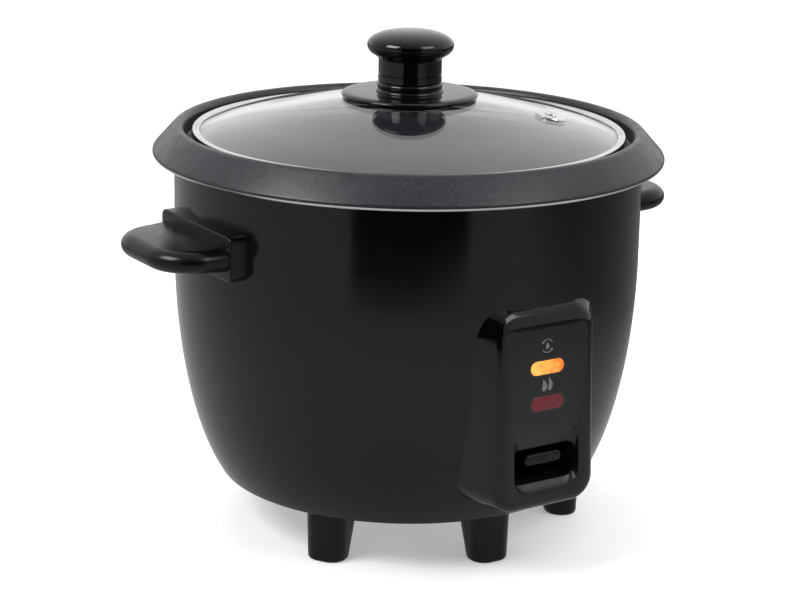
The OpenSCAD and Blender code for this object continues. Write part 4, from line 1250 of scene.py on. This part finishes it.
    @staticmethod
    def flame(t: np.ndarray, width: float, height: float, x: float,
              z: float) -> tuple[np.ndarray, np.ndarray]:
        """The two edges of a flame: a leaf whose middle line sways.

        The middle line is x + 0.09 h sin(5.6 t - 1.1) (0.3 + 0.7 t), and the half width is
        w sin(pi t^0.62)^0.8 / 2.

        Args:
            t: the parameter from the foot to the tip.
            width: its width w.
            height: its height h.
            x: across the face.
            z: height of its foot.

        Returns:
            The left and right edges.
        """
        half = 0.5 * width * np.sin(np.pi * t ** 0.62).clip(0) ** 0.8 + 0.02
        sway = x + 0.09 * height * np.sin(5.6 * t - 1.1) * (0.3 + 0.7 * t)
        rise = z + height * t
        return np.stack([sway - half, rise], axis=1), np.stack([sway + half, rise], axis=1)


@dataclass
class CookKey:
    """The key at the lever's end: a bar with a hollow for the finger behind its lip."""

    half_w: float = 8.5
    half_h: float = 2.3
    front: float = -97.1
    depth: float = 9.0
    z: float = 50.4
    edge: float = 1.0
    corner: float = 1.9
    hollow_back: float = 5.5
    hollow_up: float = 5.8
    hollow_r: float = 4.4

    def build(self) -> None:
        """Makes the key: rounded sections along Y, their tops lowered to the finger's cylinder."""
        back, inset = quarter(self.edge)
        start = self.front + self.edge
        y = np.concatenate([self.front + back, np.linspace(start, self.front + self.depth, 31)[1:]])
        inset = np.concatenate([inset, np.zeros(30)])
        rows = []
        for along, d in zip(y, inset):
            corner = max(self.corner - d, 0.3)
            flat = rounded_rect(self.half_w - d, self.half_h - d, corner, 8, 12)
            rows.append(upright(flat + [0, self.z], along))
        grid = np.array(rows)
        away = grid[..., 1] - (self.front + self.hollow_back)
        dip = self.z + self.hollow_up - np.sqrt(np.maximum(self.hollow_r ** 2 - away ** 2, 0))
        lowered = np.minimum(grid[..., 2], dip)
        grid[..., 2] = np.where(np.abs(away) < self.hollow_r, lowered, grid[..., 2])
        key = lofted("cook_key", grid, crease=45)
        dress(key, SATIN_BLACK, Body.LEVER, "lever_key", slot="satin_plastic")


@dataclass
class Foot:
    """A leg: upright and round outside, sloping in towards the floor inside."""

    name: str
    angle: float
    reach: float = 73.4
    width: float = 16.6
    corner: float = 6.2
    top_len: float = 21.0
    floor_len: float = 13.0
    top: float = 20.2
    into_base: float = 0.9
    pad: float = 1.2
    taper: float = 0.4
    side_taper: float = 0.35

    def build(self) -> None:
        """Makes the leg as level sections, each a rectangle with round corners."""
        up, inset = quarter(self.pad)
        z = np.concatenate([up, np.linspace(self.pad, self.top + self.into_base, 12)[1:]])
        inset = np.concatenate([inset, np.zeros(11)])
        rows = []
        for height, d in zip(z, inset):
            share = height / (self.top + 1)
            half_len = 0.5 * (self.floor_len + (self.top_len - self.floor_len) * share)
            below = 1 - height / self.top
            half_w = self.width / 2 - d - self.side_taper * below
            flat = rounded_rect(half_w, half_len - d, self.corner - d)
            outer = self.reach - self.taper * below
            rows.append(level(flat + [0, half_len - outer], height))
        leg = lofted(f"{self.name}_leg", facing(np.array(rows), self.angle), crease=40)
        dress(leg, SATIN_BLACK, Body.COOKER, self.name, slot="satin_plastic")


@dataclass
class HotPlate:
    """The cast plate with its turned top, and the thermostat's cap in the middle."""

    top: float = 70.0
    radius: float = 70.0
    hole: float = 20.0
    cap_r: float = 18.6
    cap_round: float = 1.2
    skin: float = 2.2
    cap_steps: int = 96

    def build(self) -> None:
        """Makes the plate and the cap."""
        z, r, h = self.top, self.radius, self.hole
        casting = softened([[h, z - 9], [42, z - 9], [43, z - 12.6], [51, z - 12.6], [52, z - 9],
                            [r - 3, z - 9], [r, z - 6], [r, z], [h, z]],
                           [0.5, 1, 2, 2, 1, 0.5, 0.5, 2, 0.8], 6)
        plate = turned("plate_casting", casting)
        dress(plate, CAST_ALU, Body.COOKER, "heating_plate", slot="cast_aluminium")
        low, c = z - self.skin, self.cap_r
        skirt = softened([[10.2, low], [10.2, z - 14], [11.2, z - 14], [11.2, low], [17.8, low],
                          [17.8, z - 4.6], [c, z - 4.6], [c, z]],
                         [0, 0, 0, 0.3, 0.3, 0, 0.2, 0], 5)[:-1]
        rim = arc((c - self.cap_round, z - self.cap_round), self.cap_round, 0, 90, 6)
        pressing = chain([[0, low]], skirt, rim, [[9, z], [0, z]])
        cap = turned("cap_pressing", pressing, self.cap_steps)
        dress(cap, CAST_ALU, Body.THERMOSTAT, "thermostat_cap", slot="cast_aluminium")


# The frame nodes that stay in view, by their finish
FRAME_FINISHES: dict[Finish, tuple[str, ...]] = {
    ROLLED: ("base_plate", "liner_posts", "heating_tube", "plate_spacers", "thermostat_guide",
             "pivot_bracket", "cook_lever"),
    WIRE: ("foot_screws", "base_screws", "plate_screws", "thermostat_spring", "magnet_plunger",
           "plunger_pin", "pivot_pin", "lever_spring", "housing_screws", "handle_screws",
           "knob_screw"),
    MAGNET: ("thermostat_core", "magnet"),
    PHENOLIC: ("contact_block",),
    COPPER: ("contact_blades",),
    CERAMIC: ("keep_warm_heater", "thermal_fuse", "terminal_block", "lamp_carrier", "lamp_warm",
              "lamp_cook"),
    SATIN_BLACK: ("inlet_housing",),
    BRASS: ("inlet_pins",),
    RUBBER: ("knob_gasket",),
}


def dress_frame() -> None:
    """Gives each frame node that stays in view its finish."""
    for finish, nodes in FRAME_FINISHES.items():
        for node in nodes:
            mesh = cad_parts[node].data
            mesh.materials.clear()
            mesh.materials.append(finish.material())
            LOG.info("%s: %s", node, finish.name)


# ---- studio ----


@dataclass
class Studio:
    """A pale sweep of floor, soft boxes, a dark flag in front, and the camera."""

    azimuth: float = 33.4
    distance: float = 863.88
    height: float = 334.86
    pitch: float = 15.817
    yaw: float = -0.307
    roll: float = 1.127
    lens: float = 100.51
    sensor: float = 36.0
    floor_half: float = 6.0
    floor_tone: float = 0.8
    floor_light: float = 0.32
    mirror_tone: Tone = (0.18, 0.18, 0.185)
    mirror_light: tuple[float, float] = (0.36, 0.24)
    mirror_span: tuple[float, float] = (0.2, 0.5)
    dark_tone: float = 0.12
    dark_share: tuple[float, float] = (0.0, 0.9)
    dark_span: tuple[float, float] = (0.10, 0.34)
    room_turn: float = 16.0
    room_light: tuple[float, float] = (0.28, 1.0)
    room_span: tuple[float, float] = (-0.7, 0.55)
    side_boxes: tuple = (("box_left", -58, 13.0), ("box_right", 56, 5.0))
    side_box_size: tuple[float, float] = (0.7, 0.55)
    flag_h: float = 0.5
    flag_share: tuple[float, float] = (0.12, 1.0)
    flag_fade: tuple[float, float] = (0.0, 0.018)

    def build(self) -> None:
        """Sets up the floor, the lamps, the world and the camera."""
        bpy.context.scene.view_settings.view_transform = "Standard"
        self.floor()
        self.world()
        self.boxes()
        self.flag()
        self.camera()

    def aim(self, angle: float, distance: float, height: float) -> np.ndarray:
        """A point in metres, angle degrees to the right of the camera's side of the object."""
        a = math.radians(angle - self.azimuth)
        return np.array([math.sin(a) * distance, -math.cos(a) * distance, height])

    def sheet(self, name: str, corners: list, g: Graph) -> bpy.types.Object:
        """Puts one flat face with its material in the studio.

        Args:
            name: the piece's name.
            corners: its four corners, in metres.
            g: the graph of its material.

        Returns:
            The object.
        """
        mesh = bpy.data.meshes.new(name)
        mesh.from_pydata(corners, [], [(0, 1, 2, 3)])
        mesh.materials.append(g.owner)
        made = linked(name, mesh)
        return made

    def floor(self) -> None:
        """Makes the floor: pale for light, white to the camera, greyer in reflections.

        In a reflection its glow falls with the distance, and it darkens towards the back right.
        """
        g = Graph(bpy.data.materials.new("studio_floor"))

        def matt(tone: Tone) -> bpy.types.Node:
            """A matt shader of a tone."""
            return g.add("ShaderNodeBsdfDiffuse", {"Color": (*tone, 1)})

        def glow(tone: Tone, strength) -> bpy.types.Node:
            """A glowing shader of a tone, as strong as a value or a socket says."""
            return g.add("ShaderNodeEmission", {"Color": (*tone, 1), "Strength": strength})

        plain = matt((self.floor_tone,) * 3)
        seen = g.total(plain, glow((0.97, 0.985, 1.0), self.floor_light))
        away = g.add("ShaderNodeVectorMath", {0: g.place}, operation="LENGTH").outputs["Value"]
        near_far = g.spread(away, *self.mirror_light, *self.mirror_span)
        grey = g.total(matt(self.mirror_tone), glow((0.96, 0.98, 1.0), near_far))
        side = {0: g.place, 1: tuple(self.aim(135, 1.0, 0.0))}
        right = g.add("ShaderNodeVectorMath", side, operation="DOT_PRODUCT").outputs["Value"]
        darker = g.spread(right, *self.dark_share, *self.dark_span)
        mirrored = g.mix(darker, grey, matt((self.dark_tone,) * 3))
        unseen = g.mix(g.ray("Is Glossy Ray"), plain, mirrored)
        g.surface(g.mix(g.ray("Is Camera Ray"), unseen, seen))
        s = self.floor_half
        self.sheet("studio_floor", [(-s, -s, 0), (s, -s, 0), (s, s, 0), (-s, s, 0)], g)

    def world(self) -> None:
        """Makes the world: white to the camera, else a soft grey room that is paler behind."""
        world = bpy.data.worlds.new("studio_room")
        bpy.context.scene.world = world
        g = Graph(world, "ShaderNodeOutputWorld", "Generated")
        turn = (0, 0, math.radians(self.azimuth + self.room_turn))
        place = g.add("ShaderNodeMapping", {"Vector": g.place, "Rotation": turn}).outputs[0]
        behind = g.add("ShaderNodeSeparateXYZ", {0: place}).outputs[1]
        light = g.spread(behind, *self.room_light, *self.room_span)
        room = g.add("ShaderNodeBackground", {"Color": WHITE, "Strength": light})
        white = g.add("ShaderNodeBackground", {"Color": WHITE})
        g.surface(g.mix(g.ray("Is Camera Ray"), room, white))

    def box(self, name: str, spot: np.ndarray, size: tuple[float, float], power: float,
            aim_z: float = 0.12) -> bpy.types.Object:
        """Hangs a soft box that faces the object.

        Args:
            name: the lamp's name.
            spot: where it hangs, in metres.
            size: its width and height in metres.
            power: watts.
            aim_z: height on the axis that it faces, in metres.

        Returns:
            The lamp.
        """
        data = bpy.data.lights.new(name, "AREA")
        data.shape = "RECTANGLE"
        data.size, data.size_y = size
        data.energy = power
        back = spot - np.array([0, 0, aim_z])
        back /= np.linalg.norm(back)
        side = np.cross([0, 0, 1], back)
        side /= max(np.linalg.norm(side), 1e-6)
        basis = np.stack([side, np.cross(back, side), back, spot], axis=1)
        lamp = linked(name, data)
        lamp.matrix_world = Matrix([*basis.tolist(), [0, 0, 0, 1]])
        return lamp

    def boxes(self) -> None:
        """Places the lamps: one overhead a little behind, one high on each side in front."""
        top = self.box("box_top", self.aim(172, 0.35, 1.35), (1.3, 0.9), 11.0, 0.0)
        top.visible_glossy = False
        for name, angle, power in self.side_boxes:
            self.box(name, self.aim(angle, 1.0, 1.05), self.side_box_size, power)

    def flag(self) -> None:
        """Stands a black card in front, seen only in reflections, that fades towards its foot."""
        g = Graph(bpy.data.materials.new("flag_cloth"))
        g.principled({"Base Color": BLACK, "Roughness": 1.0, "Specular IOR Level": 0.0})
        clear = g.add("ShaderNodeBsdfTransparent")
        height = g.add("ShaderNodeSeparateXYZ", {0: g.place}).outputs[2]
        g.surface(g.mix(g.spread(height, *self.flag_share, *self.flag_fade), clear, g.shader))
        left, right = self.aim(-23.5, 0.5, 0.0), self.aim(27.5, 0.56, 0.0)
        up = np.array([0, 0, self.flag_h])
        corners = [c.tolist() for c in (left, right, right + up, left + up)]
        card = self.sheet("flag_card", corners, g)
        card.visible_camera = card.visible_diffuse = False
        card.visible_shadow = card.visible_transmission = False

    def camera(self) -> None:
        """Sets the camera from its place, pitch, yaw and roll, all turned to the object's side."""
        p, y, r = (math.radians(v) for v in (self.pitch, self.yaw, self.roll))
        ahead = np.array([math.sin(y) * math.cos(p), math.cos(y) * math.cos(p), -math.sin(p)])
        right = np.array([math.cos(y), -math.sin(y), 0.0])
        up = np.cross(right, ahead)
        right, up = (right * math.cos(r) + up * math.sin(r),
                     up * math.cos(r) - right * math.sin(r))
        spot = np.array([0, -self.distance, self.height]) * MM
        basis = facing(np.array([right, up, -ahead, spot]), -self.azimuth).T
        data = bpy.data.cameras.new("camera")
        data.lens = self.lens
        data.sensor_width = self.sensor
        data.clip_start = 0.05
        camera = linked("camera", data)
        camera.matrix_world = Matrix([*basis.tolist(), [0, 0, 0, 1]])
        bpy.context.scene.camera = camera


def main() -> None:
    """Builds the studio, then the cooker piece by piece."""
    logging.basicConfig(level=logging.INFO, format="%(name)s %(message)s")
    Studio().build()
    dress_frame()
    drum = Drum()
    drum.build()
    Liner().build()
    Pot().build()
    Lid().build()
    Knob().build()
    Handle("handle_left", -90, drum).build()
    Handle("handle_right", 90, drum).build()
    ControlHousing(drum).build()
    CookKey().build()
    for name, angle in (("foot_front", -2.5), ("foot_left", -58.5), ("foot_right", 53.5),
                        ("foot_rear", 177.5)):
        Foot(name, angle).build()
    HotPlate().build()


if __name__ == "__main__":
    main()
